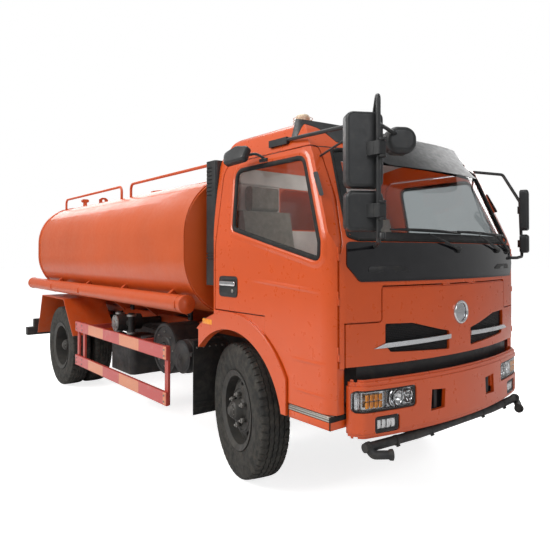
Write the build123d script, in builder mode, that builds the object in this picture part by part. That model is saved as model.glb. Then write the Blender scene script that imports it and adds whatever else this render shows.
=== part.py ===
from build123d import *
from math import atan2, degrees
import os

os.makedirs("parts", exist_ok=True)

# Light water tanker truck: forward-control tilt cab, water tank and 4x2 chassis.
# Millimetres. The truck faces -Y, +X is its left side and +Z is up.
# The origin is on the ground, under the middle of the truck's length and width.

# ---- driving dimensions ----
WHEELBASE = 3800
FRONT_REACH = 1500        # foremost point, ahead of the front axle
REAR_REACH = 5050         # rearmost point, behind the front axle
FRONT_AXLE_Y = (FRONT_REACH - REAR_REACH) / 2
REAR_AXLE_Y = FRONT_AXLE_Y + WHEELBASE
SEAT_GAP = 0.3            # clearance where one piece is seated on another
SEAM = 8                  # gap round doors and lids
PIN_CLEARANCE = 0.1       # radial clearance of a pin in its bore

# tyres and wheels
TYRE_RADIUS = 487
TYRE_WIDTH = 235
RIM_FLANGE_RADIUS = 288
RIM_SEAT_RADIUS = 254
FRONT_WHEEL_X = 850       # middle of a front tyre when it points straight ahead
KINGPIN_X = 690
REAR_TRACK_X = 945        # middle of an outer rear tyre
TWIN_SPACING = 270
NUT_CIRCLE_RADIUS = 111
NUT_COUNT = 6
HAND_HOLES = 5
STEER_AT_REST = -13       # degrees about +Z: the wheels are turned to the truck's right
SPINDLE_RADIUS = 34
AXLE_TUBE_RADIUS = 58

# ladder frame
RAIL_OUTER_X = 420
RAIL_FLANGE = 70
RAIL_THICKNESS = 8
RAIL_BOTTOM_Z = 660
RAIL_TOP_Z = 880
SUBFRAME_HEIGHT = 80


def behind(distance):
    """Y of a place so far behind the front axle; a negative distance is ahead of it."""
    return FRONT_AXLE_Y + distance


RAIL_FRONT_Y = behind(-1150)
RAIL_REAR_Y = behind(4940)

# cab
CAB_HALF_WIDTH = 1030
CAB_FRONT_Y = behind(-1200)
CAB_REAR_Y = behind(275)
CAB_TOP_Z = 2555
CAB_WALL = 38
FLOOR_Z = 1000
REAR_FLOOR_Z = 1105
SKIRT_Z = 965             # bottom of the front panel
SKIRT_SKIN = 20
BELT_Z = 1690
FRONT_BOW_RADIUS = 3200
CORNER_RADIUS = 130       # front corners in plan
CORNER_START = 24         # slope of the corner where it leaves the bow, in degrees
TILT_Y = behind(-1100)
TILT_Z = 700
DOOR_FRONT_Y = behind(-1030)
DOOR_REAR_Y = behind(205)
DOOR_BOTTOM_Z = 700
DOOR_TOP_Z = CAB_TOP_Z - 250
PILLAR_TOP_Y = behind(-790)    # the door's front edge leans back to here
DOOR_THICKNESS = 30
DOOR_INNER_X = 900         # the pillars and the roof lie inside this
ARCH_RADIUS = 600
FLARE_RADIUS = 727
FLARE_FRONT_Y = behind(-632)   # the flare's front leg runs down upright here

# tank
TANK_FRONT_Y = behind(460)
TANK_REAR_Y = behind(4690)
TANK_HALF_WIDTH = 1100
TANK_BOTTOM_Z = 1110
TANK_TOP_Z = 2290
TANK_CORNER = 500
TANK_CROWN = 25
TANK_RIM_WIDTH = 45
TANK_RIM_PROUD = 9
TANK_DISH = 90
COLLAR_RADIUS = 225
COLLAR_TOP_Z = 2370
COLLAR_Y = behind(2900)
LID_THICKNESS = 40

SIDES = {"right": -1, "left": 1}


# ================================================================ tank

def tank_section(grow):
    """Cross-section of the tank, grown outward by grow."""
    half = TANK_HALF_WIDTH + grow
    low = TANK_BOTTOM_Z - grow
    high = TANK_TOP_Z + grow
    with BuildSketch() as section:
        with BuildLine():
            base = ThreePointArc((-half, low + TANK_CROWN), (0, low), (half, low + TANK_CROWN))
            flank = Line(base @ 1, (half, high - TANK_CROWN))
            top = ThreePointArc(flank @ 1, (0, high), (-half, high - TANK_CROWN))
            Line(top @ 1, base @ 0)
        make_face()
        fillet(section.vertices(), TANK_CORNER + grow)
    return section.sketch


def section_plane(y):
    """Plane across the truck at y: its x is the truck's X and its y is Z."""
    return Plane(origin=(0, y, 0), x_dir=(1, 0, 0), z_dir=(0, -1, 0))


TANK_LENGTH = TANK_REAR_Y - TANK_FRONT_Y
TANK_MID_Z = (TANK_BOTTOM_Z + TANK_TOP_Z) / 2


def tank_body(grow):
    """The tank with its dished ends and rim bands, grown outward by grow."""
    half = TANK_HALF_WIDTH + grow
    front_y = TANK_FRONT_Y - grow
    rear_y = TANK_REAR_Y + grow
    with BuildPart() as body:
        with BuildSketch(section_plane(front_y)):
            add(tank_section(grow))
        extrude(amount=front_y - rear_y)
        with BuildSketch(Plane.XY.offset(TANK_MID_Z)):
            with BuildLine():
                front = ThreePointArc((-half, front_y + TANK_DISH), (0, front_y), (half, front_y + TANK_DISH))
                right = Line(front @ 1, (half, rear_y - TANK_DISH))
                rear = ThreePointArc(right @ 1, (0, rear_y), (-half, rear_y - TANK_DISH))
                Line(rear @ 1, front @ 0)
            make_face()
        extrude(amount=TANK_HALF_WIDTH, both=True, mode=Mode.INTERSECT)
        for rim_y in (TANK_FRONT_Y + TANK_DISH, TANK_REAR_Y - TANK_DISH - TANK_RIM_WIDTH):
            with BuildSketch(section_plane(rim_y - grow)):
                add(tank_section(TANK_RIM_PROUD + grow))
            extrude(amount=-TANK_RIM_WIDTH - 2 * grow)
    return body.part


LID_HINGE_Y = COLLAR_Y + COLLAR_RADIUS + 45
LID_HINGE_Z = COLLAR_TOP_Z + SEAT_GAP + LID_THICKNESS / 2
LID_LUG_WIDTH = 60
LID_EAR_THICKNESS = 12
LID_EAR_RADIUS = 20
LID_PIN_RADIUS = 8
VENT_X = 560

with BuildPart() as tank:
    add(tank_body(0))
    with BuildSketch(Plane.XY.offset(TANK_TOP_Z - TANK_CROWN)):
        with Locations((0, COLLAR_Y)):
            Circle(COLLAR_RADIUS)
    extrude(amount=COLLAR_TOP_Z - TANK_TOP_Z + TANK_CROWN)
    # vent ahead of the rear rim and lifting lugs beside the collar
    with BuildSketch(Plane.XY.offset(TANK_TOP_Z - 60)):
        with Locations((-VENT_X, TANK_REAR_Y - 330)):
            Circle(26)
    extrude(amount=150)
    with BuildSketch(Plane.XZ.offset(-(TANK_REAR_Y - 330))):
        with Locations((-VENT_X, TANK_TOP_Z + 90)):
            RectangleRounded(92, 44, 20)
    extrude(amount=26, both=True)
    for side in SIDES.values():
        with BuildSketch(section_plane(COLLAR_Y + 620)):
            with BuildLine():
                Polyline((side * 560, TANK_TOP_Z - 80), (side * 560, TANK_TOP_Z + 40), (side * 590, TANK_TOP_Z + 62),
                         (side * 640, TANK_TOP_Z + 62), (side * 670, TANK_TOP_Z + 40), (side * 670, TANK_TOP_Z - 80),
                         close=True)
            make_face()
            with Locations((side * 615, TANK_TOP_Z + 22)):
                Circle(20, mode=Mode.SUBTRACT)
        extrude(amount=-20)
    # ears and pin of the lid's hinge
    for side in SIDES.values():
        with BuildSketch(Plane.YZ.offset(side * LID_LUG_WIDTH / 2 + side * SEAT_GAP)):
            with Locations((LID_HINGE_Y, LID_HINGE_Z)):
                Circle(LID_EAR_RADIUS)
            with BuildLine():
                Polyline((COLLAR_Y + COLLAR_RADIUS - 20, TANK_TOP_Z), (LID_HINGE_Y + LID_EAR_RADIUS, TANK_TOP_Z - 10),
                         (LID_HINGE_Y + LID_EAR_RADIUS, LID_HINGE_Z), (COLLAR_Y + COLLAR_RADIUS + 22, LID_HINGE_Z),
                         (COLLAR_Y + COLLAR_RADIUS + 22, COLLAR_TOP_Z - 12),
                         (COLLAR_Y + COLLAR_RADIUS - 20, COLLAR_TOP_Z - 12), close=True)
            make_face()
        extrude(amount=side * LID_EAR_THICKNESS)
    with BuildSketch(Plane.YZ):
        with Locations((LID_HINGE_Y, LID_HINGE_Z)):
            Circle(LID_PIN_RADIUS)
    extrude(amount=LID_LUG_WIDTH / 2 + LID_EAR_THICKNESS, both=True)
tank.part.label = "tank"
export_step(tank.part, "parts/tank.step")

with BuildPart() as manhole_lid:
    with BuildSketch(Plane.XY.offset(COLLAR_TOP_Z + SEAT_GAP)):
        with Locations((0, COLLAR_Y)):
            Circle(COLLAR_RADIUS + 15)
    extrude(amount=LID_THICKNESS)
    # hinge lug
    with BuildSketch(Plane.YZ):
        with Locations((LID_HINGE_Y, LID_HINGE_Z)):
            Circle(LID_THICKNESS / 2)
        with Locations((COLLAR_Y + COLLAR_RADIUS, LID_HINGE_Z)):
            Rectangle(LID_HINGE_Y - COLLAR_Y - COLLAR_RADIUS, LID_THICKNESS, align=(Align.MIN, Align.CENTER))
        with Locations((LID_HINGE_Y, LID_HINGE_Z)):
            Circle(LID_PIN_RADIUS + PIN_CLEARANCE, mode=Mode.SUBTRACT)
    extrude(amount=LID_LUG_WIDTH / 2, both=True)
manhole_lid.part.label = "manhole_lid"
export_step(manhole_lid.part, "parts/manhole_lid.step")

# ================================================================ frame

SPRING_X = RAIL_OUTER_X - RAIL_FLANGE / 2
SPRING_WIDTH = 60
SPRING_EYE_RADIUS = 24
SPRING_PIN_RADIUS = 11
HANGER_THICKNESS = 8
HANGER_RADIUS = 32
# axle station, half length between the eyes, height of the eyes
FRONT_SPRING = (FRONT_AXLE_Y, 600, 590)
REAR_SPRING = (REAR_AXLE_Y, 640, 600)

with BuildPart() as frame:
    for side in SIDES.values():
        rail_x = side * (RAIL_OUTER_X - RAIL_FLANGE / 2)
        with BuildSketch(section_plane(RAIL_FRONT_Y)):
            with Locations((rail_x, (RAIL_BOTTOM_Z + RAIL_TOP_Z) / 2)):
                Rectangle(RAIL_FLANGE, RAIL_TOP_Z - RAIL_BOTTOM_Z)
            with Locations((rail_x - side * RAIL_THICKNESS, (RAIL_BOTTOM_Z + RAIL_TOP_Z) / 2)):
                Rectangle(RAIL_FLANGE, RAIL_TOP_Z - RAIL_BOTTOM_Z - 2 * RAIL_THICKNESS, mode=Mode.SUBTRACT)
        extrude(amount=RAIL_FRONT_Y - RAIL_REAR_Y)
    # cross-members: station and middle height
    for cross, cross_z in ((-880, RAIL_BOTTOM_Z + 50), (1000, RAIL_TOP_Z - 52), (1900, RAIL_TOP_Z - 52),
                           (2900, RAIL_TOP_Z - 52), (3300, RAIL_TOP_Z - 52), (4300, RAIL_TOP_Z - 52),
                           (4880, RAIL_TOP_Z - 52)):
        with BuildSketch(section_plane(behind(cross))):
            with Locations((0, cross_z)):
                Rectangle(2 * (RAIL_OUTER_X - RAIL_THICKNESS / 2), 84)
        extrude(amount=-50)
    # hangers with their pins, either side of each spring eye
    for side in SIDES.values():
        for axle_y, half_length, eye_z in (FRONT_SPRING, REAR_SPRING):
            for eye_y in (axle_y - half_length, axle_y + half_length):
                for cheek in (-1, 1):
                    inner = side * SPRING_X + cheek * (SPRING_WIDTH / 2 + SEAT_GAP)
                    with BuildSketch(Plane.YZ.offset(inner)):
                        with Locations((eye_y, eye_z)):
                            Circle(HANGER_RADIUS)
                        with Locations((eye_y, eye_z)):
                            Rectangle(2 * HANGER_RADIUS, RAIL_BOTTOM_Z + RAIL_THICKNESS / 2 - eye_z,
                                      align=(Align.CENTER, Align.MIN))
                    extrude(amount=cheek * HANGER_THICKNESS)
                with BuildSketch(Plane.YZ.offset(side * SPRING_X)):
                    with Locations((eye_y, eye_z)):
                        Circle(SPRING_PIN_RADIUS)
                extrude(amount=SPRING_WIDTH / 2 + HANGER_THICKNESS, both=True)
    # tilt pin of the cab
    with BuildSketch(Plane.YZ.offset(-RAIL_OUTER_X + RAIL_THICKNESS / 2)):
        with Locations((TILT_Y, TILT_Z)):
            Circle(20)
    extrude(amount=2 * RAIL_OUTER_X - RAIL_THICKNESS)
frame.part.label = "frame"
export_step(frame.part, "parts/frame.step")

SUBFRAME_TOP_Z = RAIL_TOP_Z + SEAT_GAP + SUBFRAME_HEIGHT
SADDLE_STATIONS = (640, 1500, 2400, 3300, 4200, 4600)
with BuildPart() as subframe:
    for side in SIDES.values():
        with BuildSketch(section_plane(TANK_FRONT_Y + 60)):
            with Locations((side * (RAIL_OUTER_X - 35), RAIL_TOP_Z + SEAT_GAP + SUBFRAME_HEIGHT / 2)):
                Rectangle(60, SUBFRAME_HEIGHT)
        extrude(amount=TANK_FRONT_Y + 60 - RAIL_REAR_Y)
    for saddle in SADDLE_STATIONS:
        with BuildSketch(section_plane(behind(saddle))):
            with BuildLine():
                Polyline((-420, SUBFRAME_TOP_Z - 30), (420, SUBFRAME_TOP_Z - 30), (600, SUBFRAME_TOP_Z + 120),
                         (600, SUBFRAME_TOP_Z + 200), (-600, SUBFRAME_TOP_Z + 200), (-600, SUBFRAME_TOP_Z + 120),
                         close=True)
            make_face()
            add(tank_section(SEAT_GAP), mode=Mode.SUBTRACT)
        extrude(amount=-40)
subframe.part.label = "subframe"
export_step(subframe.part, "parts/subframe.step")

# ================================================================ axles and springs

AXLE_BEAM_HALF_WIDTH = 38
AXLE_BEAM_TOP_Z = 470
KINGPIN_BOSS = 90
with BuildPart() as front_axle:
    with BuildSketch(Plane.XZ.offset(-FRONT_AXLE_Y)):
        with BuildLine():
            Polyline((-KINGPIN_X, 440), (-560, 440), (-480, 380), (480, 380), (560, 440), (KINGPIN_X, 440),
                     (KINGPIN_X, 530), (560, 530), (480, AXLE_BEAM_TOP_Z), (-480, AXLE_BEAM_TOP_Z), (-560, 530),
                     (-KINGPIN_X, 530), close=True)
        make_face()
    extrude(amount=AXLE_BEAM_HALF_WIDTH, both=True)
    for side in SIDES.values():
        with BuildSketch(Plane.XY.offset(440)):
            with Locations((side * KINGPIN_X, FRONT_AXLE_Y)):
                Circle(42)
        extrude(amount=KINGPIN_BOSS)
        with BuildSketch(Plane.XY.offset(440)):
            with Locations((side * KINGPIN_X, FRONT_AXLE_Y)):
                Circle(18 + PIN_CLEARANCE)
        extrude(amount=KINGPIN_BOSS, mode=Mode.SUBTRACT)
front_axle.part.label = "front_axle"
export_step(front_axle.part, "parts/front_axle.step")

DIFF_NOSE = 130            # reach of the axle's middle housing, ahead and behind
REAR_TUBE_END_X = REAR_TRACK_X - TWIN_SPACING / 2
with BuildPart() as rear_axle:
    with BuildSketch(Plane.YZ.offset(-REAR_TUBE_END_X)):
        with Locations((REAR_AXLE_Y, TYRE_RADIUS)):
            Circle(AXLE_TUBE_RADIUS)
    extrude(amount=2 * REAR_TUBE_END_X)
    with Locations((0, REAR_AXLE_Y, TYRE_RADIUS)):
        Cylinder(170, 150, rotation=(90, 0, 0))
        Cylinder(120, 2 * DIFF_NOSE, rotation=(90, 0, 0))
rear_axle.part.label = "rear_axle"
export_step(rear_axle.part, "parts/rear_axle.step")


def leaf_pack(x, axle_y, half_length, eye_z, seat_z, leaves, thickness):
    """Bowed leaves stacked on an axle seat, with an eye at each end of the longest."""
    with BuildPart() as pack:
        with BuildSketch(Plane.YZ.offset(x - SPRING_WIDTH / 2)):
            with BuildLine():
                low = ThreePointArc((axle_y - half_length, eye_z), (axle_y, seat_z), (axle_y + half_length, eye_z))
                edge = Line(low @ 1, (axle_y + half_length, eye_z + thickness))
                high = ThreePointArc(edge @ 1, (axle_y, seat_z + leaves * thickness),
                                     (axle_y - half_length, eye_z + thickness))
                Line(high @ 1, low @ 0)
            make_face()
            eyes = ((axle_y - half_length, eye_z), (axle_y + half_length, eye_z))
            with Locations(*eyes):
                Circle(SPRING_EYE_RADIUS)
            with Locations(*eyes):
                Circle(SPRING_PIN_RADIUS + PIN_CLEARANCE, mode=Mode.SUBTRACT)
        extrude(amount=SPRING_WIDTH)
    return pack.part


with BuildPart() as leaf_springs:
    for side in SIDES.values():
        add(leaf_pack(side * SPRING_X, *FRONT_SPRING, AXLE_BEAM_TOP_Z + SEAT_GAP, 6, 9))
        add(leaf_pack(side * SPRING_X, *REAR_SPRING, TYRE_RADIUS + AXLE_TUBE_RADIUS + SEAT_GAP, 9, 10))
leaf_springs.part.label = "leaf_springs"
export_step(leaf_springs.part, "parts/leaf_springs.step")

# ================================================================ wheels

def tyre_profile(half_width):
    """Half section of a tyre: x along the axle, y outward from it."""
    with BuildSketch() as profile:
        with BuildLine():
            seat = Line((-half_width * 0.70, RIM_SEAT_RADIUS + SEAT_GAP), (half_width * 0.70, RIM_SEAT_RADIUS + SEAT_GAP))
            lip = Line(seat @ 1, (half_width * 0.82, RIM_FLANGE_RADIUS + 4))
            wall = ThreePointArc(lip @ 1, (half_width, (RIM_FLANGE_RADIUS + TYRE_RADIUS) / 2 + 8),
                                 (half_width * 0.88, TYRE_RADIUS - 22))
            tread_out = Line(wall @ 1, (half_width * 0.72, TYRE_RADIUS - 3))
            tread = ThreePointArc(tread_out @ 1, (0, TYRE_RADIUS), (-half_width * 0.72, TYRE_RADIUS - 3))
            tread_in = Line(tread @ 1, (-half_width * 0.88, TYRE_RADIUS - 22))
            wall_in = ThreePointArc(tread_in @ 1, (-half_width, (RIM_FLANGE_RADIUS + TYRE_RADIUS) / 2 + 8),
                                    (-half_width * 0.82, RIM_FLANGE_RADIUS + 4))
            Line(wall_in @ 1, seat @ 0)
        make_face()
    return profile.sketch


def rim_profile(half_width):
    """Half section of a rim barrel: x along the axle, y outward from it."""
    with BuildSketch() as profile:
        with BuildLine():
            Polyline((-half_width * 0.84, RIM_FLANGE_RADIUS), (-half_width * 0.72, RIM_SEAT_RADIUS),
                     (half_width * 0.72, RIM_SEAT_RADIUS), (half_width * 0.84, RIM_FLANGE_RADIUS),
                     (half_width * 0.90, RIM_FLANGE_RADIUS - 2), (half_width * 0.78, RIM_SEAT_RADIUS - 10),
                     (-half_width * 0.78, RIM_SEAT_RADIUS - 10), (-half_width * 0.90, RIM_FLANGE_RADIUS - 2),
                     close=True)
        make_face()
    return profile.sketch


AXLE_SECTION = Plane(origin=(0, 0, 0), x_dir=(0, 0, 1), z_dir=(0, 1, 0))   # x along the axle, y outward from it
DISC_THICKNESS = 11


def make_tyre(offsets):
    """Tyres round the Z axis, their middles at the given offsets along it."""
    with BuildPart() as tyre:
        for shift in offsets:
            with BuildSketch(AXLE_SECTION):
                with Locations((shift, 0)):
                    add(tyre_profile(TYRE_WIDTH / 2))
            revolve(axis=Axis.Z)
    return tyre.part


def make_rim(offsets, disc_faces, slopes, bore, hub_inner, hub_outer):
    """Rims, their discs, the hub with its drum and the nuts, all turning together about the Z axis."""
    outer_face = max(disc_faces)
    inner_face = min(disc_faces) - DISC_THICKNESS
    with BuildPart() as rim:
        with BuildSketch(AXLE_SECTION):
            with BuildLine():
                Polyline((hub_inner, bore + PIN_CLEARANCE), (hub_outer - 30, bore + PIN_CLEARANCE),
                         (hub_outer - 30, 0), (hub_outer, 0), (hub_outer, 56), (hub_outer - 12, 66),
                         (outer_face + 14, 80), (outer_face - 2, 92), (inner_face + 2, 92), (inner_face - 8, 140),
                         (inner_face - 20, 196), (hub_inner, 196), close=True)
            make_face()
        revolve(axis=Axis.Z)
        for shift, face, slope in zip(offsets, disc_faces, slopes):
            with BuildSketch(AXLE_SECTION):
                with Locations((shift, 0)):
                    add(rim_profile(TYRE_WIDTH / 2))
                with BuildLine():
                    Polyline((face, 80), (face, 165), (face + slope, RIM_SEAT_RADIUS - 6),
                             (face + slope - DISC_THICKNESS, RIM_SEAT_RADIUS - 6),
                             (face - DISC_THICKNESS, 165), (face - DISC_THICKNESS, 80), close=True)
                make_face()
            revolve(axis=Axis.Z)
            with BuildSketch(Plane.XY.offset(face + 20)):
                with PolarLocations(198, HAND_HOLES):
                    Ellipse(26, 34)
            extrude(amount=-abs(slope) - 40, mode=Mode.SUBTRACT)
        with BuildSketch(Plane.XY.offset(outer_face - 4)):
            with PolarLocations(NUT_CIRCLE_RADIUS, NUT_COUNT):
                RegularPolygon(17, 6)
        extrude(amount=30)
    return rim.part


FRONT_REACH_OUT = FRONT_WHEEL_X - KINGPIN_X
front_tyre = make_tyre((0,))
front_rim = make_rim((0,), (60,), (-45,), SPINDLE_RADIUS, -20, 135)
rear_tyres = make_tyre((0, -TWIN_SPACING))
rear_rims = make_rim((0, -TWIN_SPACING), (-TWIN_SPACING / 2 + DISC_THICKNESS, -TWIN_SPACING / 2), (60, -60),
                     AXLE_TUBE_RADIUS, -330, 60)

for name, side in SIDES.items():
    straight = Vector(side, 0, 0)
    outward = straight.rotate(Axis.Z, STEER_AT_REST)
    kingpin = Vector(side * KINGPIN_X, FRONT_AXLE_Y, TYRE_RADIUS)
    front_place = Plane(origin=kingpin + outward * FRONT_REACH_OUT, x_dir=(0, 0, 1), z_dir=outward)
    rear_place = Plane(origin=(side * REAR_TRACK_X, REAR_AXLE_Y, TYRE_RADIUS), x_dir=(0, 0, 1), z_dir=straight)
    for piece_name, piece, place in ((f"front_{name}_tyre", front_tyre, front_place),
                                     (f"front_{name}_rim", front_rim, front_place),
                                     (f"rear_{name}_tyres", rear_tyres, rear_place),
                                     (f"rear_{name}_rims", rear_rims, rear_place)):
        with BuildPart() as wheel_piece:
            with Locations(place.location):
                add(piece)
        wheel_piece.part.label = piece_name
        export_step(wheel_piece.part, f"parts/{piece_name}.step")
    with BuildPart() as knuckle:
        with BuildSketch(Plane.XY.offset(400)):
            with Locations((kingpin.X, kingpin.Y)):
                Circle(18)
        extrude(amount=170)
        for eye_z in (400, 530 + SEAT_GAP):
            with BuildSketch(Plane(origin=Vector(kingpin.X, kingpin.Y, eye_z), x_dir=outward, z_dir=(0, 0, 1))):
                Circle(40)
                with Locations((30, 0)):
                    Rectangle(60, 70)
            extrude(amount=40 - SEAT_GAP)
        with BuildSketch(Plane(origin=kingpin + outward * 44, x_dir=(0, 0, 1), z_dir=outward)):
            Rectangle(170, 70)
        extrude(amount=26)
        with BuildSketch(Plane(origin=kingpin + outward * 44, x_dir=(0, 0, 1), z_dir=outward)):
            Circle(SPINDLE_RADIUS)
        extrude(amount=FRONT_REACH_OUT - 44 + 100)
        # steering arm reaching back
        with BuildSketch(Plane(origin=Vector(kingpin.X, kingpin.Y, 400), x_dir=outward, z_dir=(0, 0, 1))):
            with BuildLine():
                Polyline((10, 20 * side), (50, 20 * side), (0, 190 * side), (-40, 190 * side), close=True)
            make_face()
        extrude(amount=24)
    knuckle.part.label = f"{name}_knuckle"
    export_step(knuckle.part, f"parts/{name}_knuckle.step")

# ================================================================ cab body

# section of the cab across the truck: half width and height, with the bend's radius
SECTION_POINTS = ((CAB_HALF_WIDTH, BELT_Z, 600), (CAB_HALF_WIDTH - 90, CAB_TOP_Z - 225, 300),
                  (CAB_HALF_WIDTH - 170, CAB_TOP_Z - 60, 110), (CAB_HALF_WIDTH - 330, CAB_TOP_Z - 15, 500))
# front of the cab from the side: station and height, with the bend's radius
FRONT_POINTS = ((-1200, 1500, 900), (-1185, BELT_Z, 200), (-925, CAB_TOP_Z - 265, 400), (-760, CAB_TOP_Z - 75, 200),
                (-520, CAB_TOP_Z - 10, 700))
BACK_POINTS = ((60, CAB_TOP_Z - 15, 350), (190, CAB_TOP_Z - 65, 110), (275, CAB_TOP_Z - 215, 130))


def bend_at(sketch, x, y, radius):
    """Round the corner of a sketch that lies at a place."""
    fillet(sketch.vertices().sort_by_distance((x, y, 0))[0], radius)


def cab_envelope(inset, bottom_z=DOOR_BOTTOM_Z):
    """The cab's outer form, every wall moved in by inset: side, front and plan views met together."""
    bow_y = CAB_FRONT_Y + FRONT_BOW_RADIUS
    with BuildPart() as envelope:
        # bowed front: its side view turned about an upright axis far behind it
        with BuildSketch(Plane.YZ) as front_view:
            with BuildLine():
                Polyline((bow_y, bottom_z - 50), (CAB_FRONT_Y, bottom_z - 50),
                         *((behind(y), z) for y, z, radius in FRONT_POINTS),
                         (behind(-250), CAB_TOP_Z), (bow_y, CAB_TOP_Z), close=True)
            make_face()
            for y, z, radius in FRONT_POINTS:
                bend_at(front_view, behind(y), z, radius)
            if inset:
                offset(amount=-inset, kind=Kind.INTERSECTION)
            with Locations((bow_y - 1, 1500)):
                Rectangle(500, 3000, align=(Align.MIN, Align.CENTER), mode=Mode.SUBTRACT)
        revolve(axis=Axis((0, bow_y, 0), (0, 0, 1)))
        # roof and back
        with BuildSketch(Plane.YZ) as back_view:
            with BuildLine():
                Polyline((CAB_FRONT_Y - 200, bottom_z - 50), (CAB_FRONT_Y - 200, CAB_TOP_Z), (behind(-250), CAB_TOP_Z),
                         *((behind(y), z) for y, z, radius in BACK_POINTS), (CAB_REAR_Y, bottom_z - 50), close=True)
            make_face()
            for y, z, radius in BACK_POINTS:
                bend_at(back_view, behind(y), z, radius)
            if inset:
                offset(amount=-inset, kind=Kind.INTERSECTION)
        extrude(amount=CAB_HALF_WIDTH + 100, both=True, mode=Mode.INTERSECT)
        with BuildSketch(section_plane(CAB_FRONT_Y - 100)) as section:
            with BuildLine():
                Polyline((CAB_HALF_WIDTH, bottom_z - 50), *((x, z) for x, z, radius in SECTION_POINTS),
                         *((-x, z) for x, z, radius in reversed(SECTION_POINTS)), (-CAB_HALF_WIDTH, bottom_z - 50),
                         close=True)
            make_face()
            for x, z, radius in SECTION_POINTS:
                bend_at(section, x, z, radius)
                bend_at(section, -x, z, radius)
            if inset:
                offset(amount=-inset, kind=Kind.INTERSECTION)
        extrude(amount=CAB_FRONT_Y - CAB_REAR_Y - 200, mode=Mode.INTERSECT)
        # plan view: ahead of the corners its front lies clear of the bow, so only the corners cut anything away
        with BuildSketch(Plane.XY.offset(bottom_z)) as plan:
            centre_x = CAB_HALF_WIDTH - CORNER_RADIUS
            reach = ((FRONT_BOW_RADIUS - CORNER_RADIUS) ** 2 - centre_x ** 2) ** 0.5
            corner = Vector(centre_x, bow_y - reach)
            away = Vector(0, -1).rotate(Axis.Z, CORNER_START)
            touch = corner + away * CORNER_RADIUS
            middle = corner + (away + Vector(1, 0)).normalized() * CORNER_RADIUS
            nose_y = touch.Y + touch.X * away.X / away.Y
            with BuildLine():
                Line((0, nose_y), touch)
                ThreePointArc(touch, middle, (CAB_HALF_WIDTH, corner.Y))
                Polyline((CAB_HALF_WIDTH, corner.Y), (CAB_HALF_WIDTH, CAB_REAR_Y), (-CAB_HALF_WIDTH, CAB_REAR_Y),
                         (-CAB_HALF_WIDTH, corner.Y))
                ThreePointArc((-CAB_HALF_WIDTH, corner.Y), (-middle.X, middle.Y), (-touch.X, touch.Y))
                Line((-touch.X, touch.Y), (0, nose_y))
            make_face()
            for side in SIDES.values():
                bend_at(plan, side * CAB_HALF_WIDTH, CAB_REAR_Y, 60)
            if inset:
                offset(amount=-inset, kind=Kind.INTERSECTION)
        extrude(amount=CAB_TOP_Z, mode=Mode.INTERSECT)
    return envelope.part


def door_outline(grow):
    """Door seen from the side, grown outward by grow: x is the truck's Y and y is Z."""
    front_y, rear_y = DOOR_FRONT_Y - grow, DOOR_REAR_Y + grow
    low_z, top_z = DOOR_BOTTOM_Z - grow, DOOR_TOP_Z + grow
    # the leaning front edge moves outward square to itself
    run, rise = PILLAR_TOP_Y - DOOR_FRONT_Y, DOOR_TOP_Z - BELT_Z
    slope = (run ** 2 + rise ** 2) ** 0.5
    belt_z = BELT_Z + grow * (slope - rise) / run
    pillar_y = PILLAR_TOP_Y + grow * (run - slope) / rise
    with BuildSketch() as outline:
        with BuildLine():
            Polyline((front_y, low_z), (front_y, belt_z), (pillar_y, top_z), (rear_y, top_z), (rear_y, low_z),
                     close=True)
        make_face()
        bend_at(outline, front_y, belt_z, 150 + grow)
        bend_at(outline, pillar_y, top_z, 90 + grow)
        bend_at(outline, rear_y, top_z, 110 + grow)
        # the wheel's flare, whose front leg runs down upright
        flare_radius = FLARE_RADIUS + SEAM - grow
        flare_front_y = FLARE_FRONT_Y - SEAM + grow
        with Locations((FRONT_AXLE_Y, TYRE_RADIUS)):
            Circle(flare_radius, mode=Mode.SUBTRACT)
        with Locations((behind(400), TYRE_RADIUS)):
            Rectangle(1600, 2 * flare_radius, mode=Mode.SUBTRACT)
        # what the flare's circle cut ahead of its upright leg
        leg_top_z = TYRE_RADIUS + (flare_radius ** 2 - (FRONT_AXLE_Y - flare_front_y) ** 2) ** 0.5
        with Locations((front_y, low_z)):
            Rectangle(flare_front_y - front_y, leg_top_z - low_z, align=(Align.MIN, Align.MIN))
    return outline.sketch


def door_window(grow):
    """Window of a door seen from the side, grown outward by grow."""
    with BuildSketch() as outline:
        with BuildLine():
            Polyline((behind(45), DOOR_TOP_Z - 50), (behind(-700), DOOR_TOP_Z - 50), (behind(-925), 1700),
                     (behind(-925), 1590), (behind(0), 1805), close=True)
        make_face()
        bend_at(outline, behind(45), DOOR_TOP_Z - 50, 70)
        bend_at(outline, behind(-700), DOOR_TOP_Z - 50, 90)
        bend_at(outline, behind(-925), 1700, 60)
        bend_at(outline, behind(-925), 1590, 40)
        bend_at(outline, behind(0), 1805, 50)
        if grow:
            offset(amount=grow)
    return outline.sketch


WINDSHIELD = ((-905, 1715), (905, 1715), (815, 2290), (-815, 2290))
REAR_WINDOW_SIZE = (760, 330)
REAR_WINDOW_Z = 2000
LID_HALF_WIDTH = 700
FRONT_LID_TOP_Z = 1440
FRONT_LID_BOTTOM_Z = 985
LID_WING_Z = 1220          # below this the lid widens to the cab's corners
LID_WING_X = 945
LID_SKIN = 18
LID_EDGE = 8
LID_BOTTOM_Z = 972
FIREWALL_Y = behind(-1000)
HUMP_HALF_WIDTH = 360
HUMP_FRONT_Y = behind(-640)
HUMP_TOP_Z = 1330
ARM_X = 300

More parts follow.
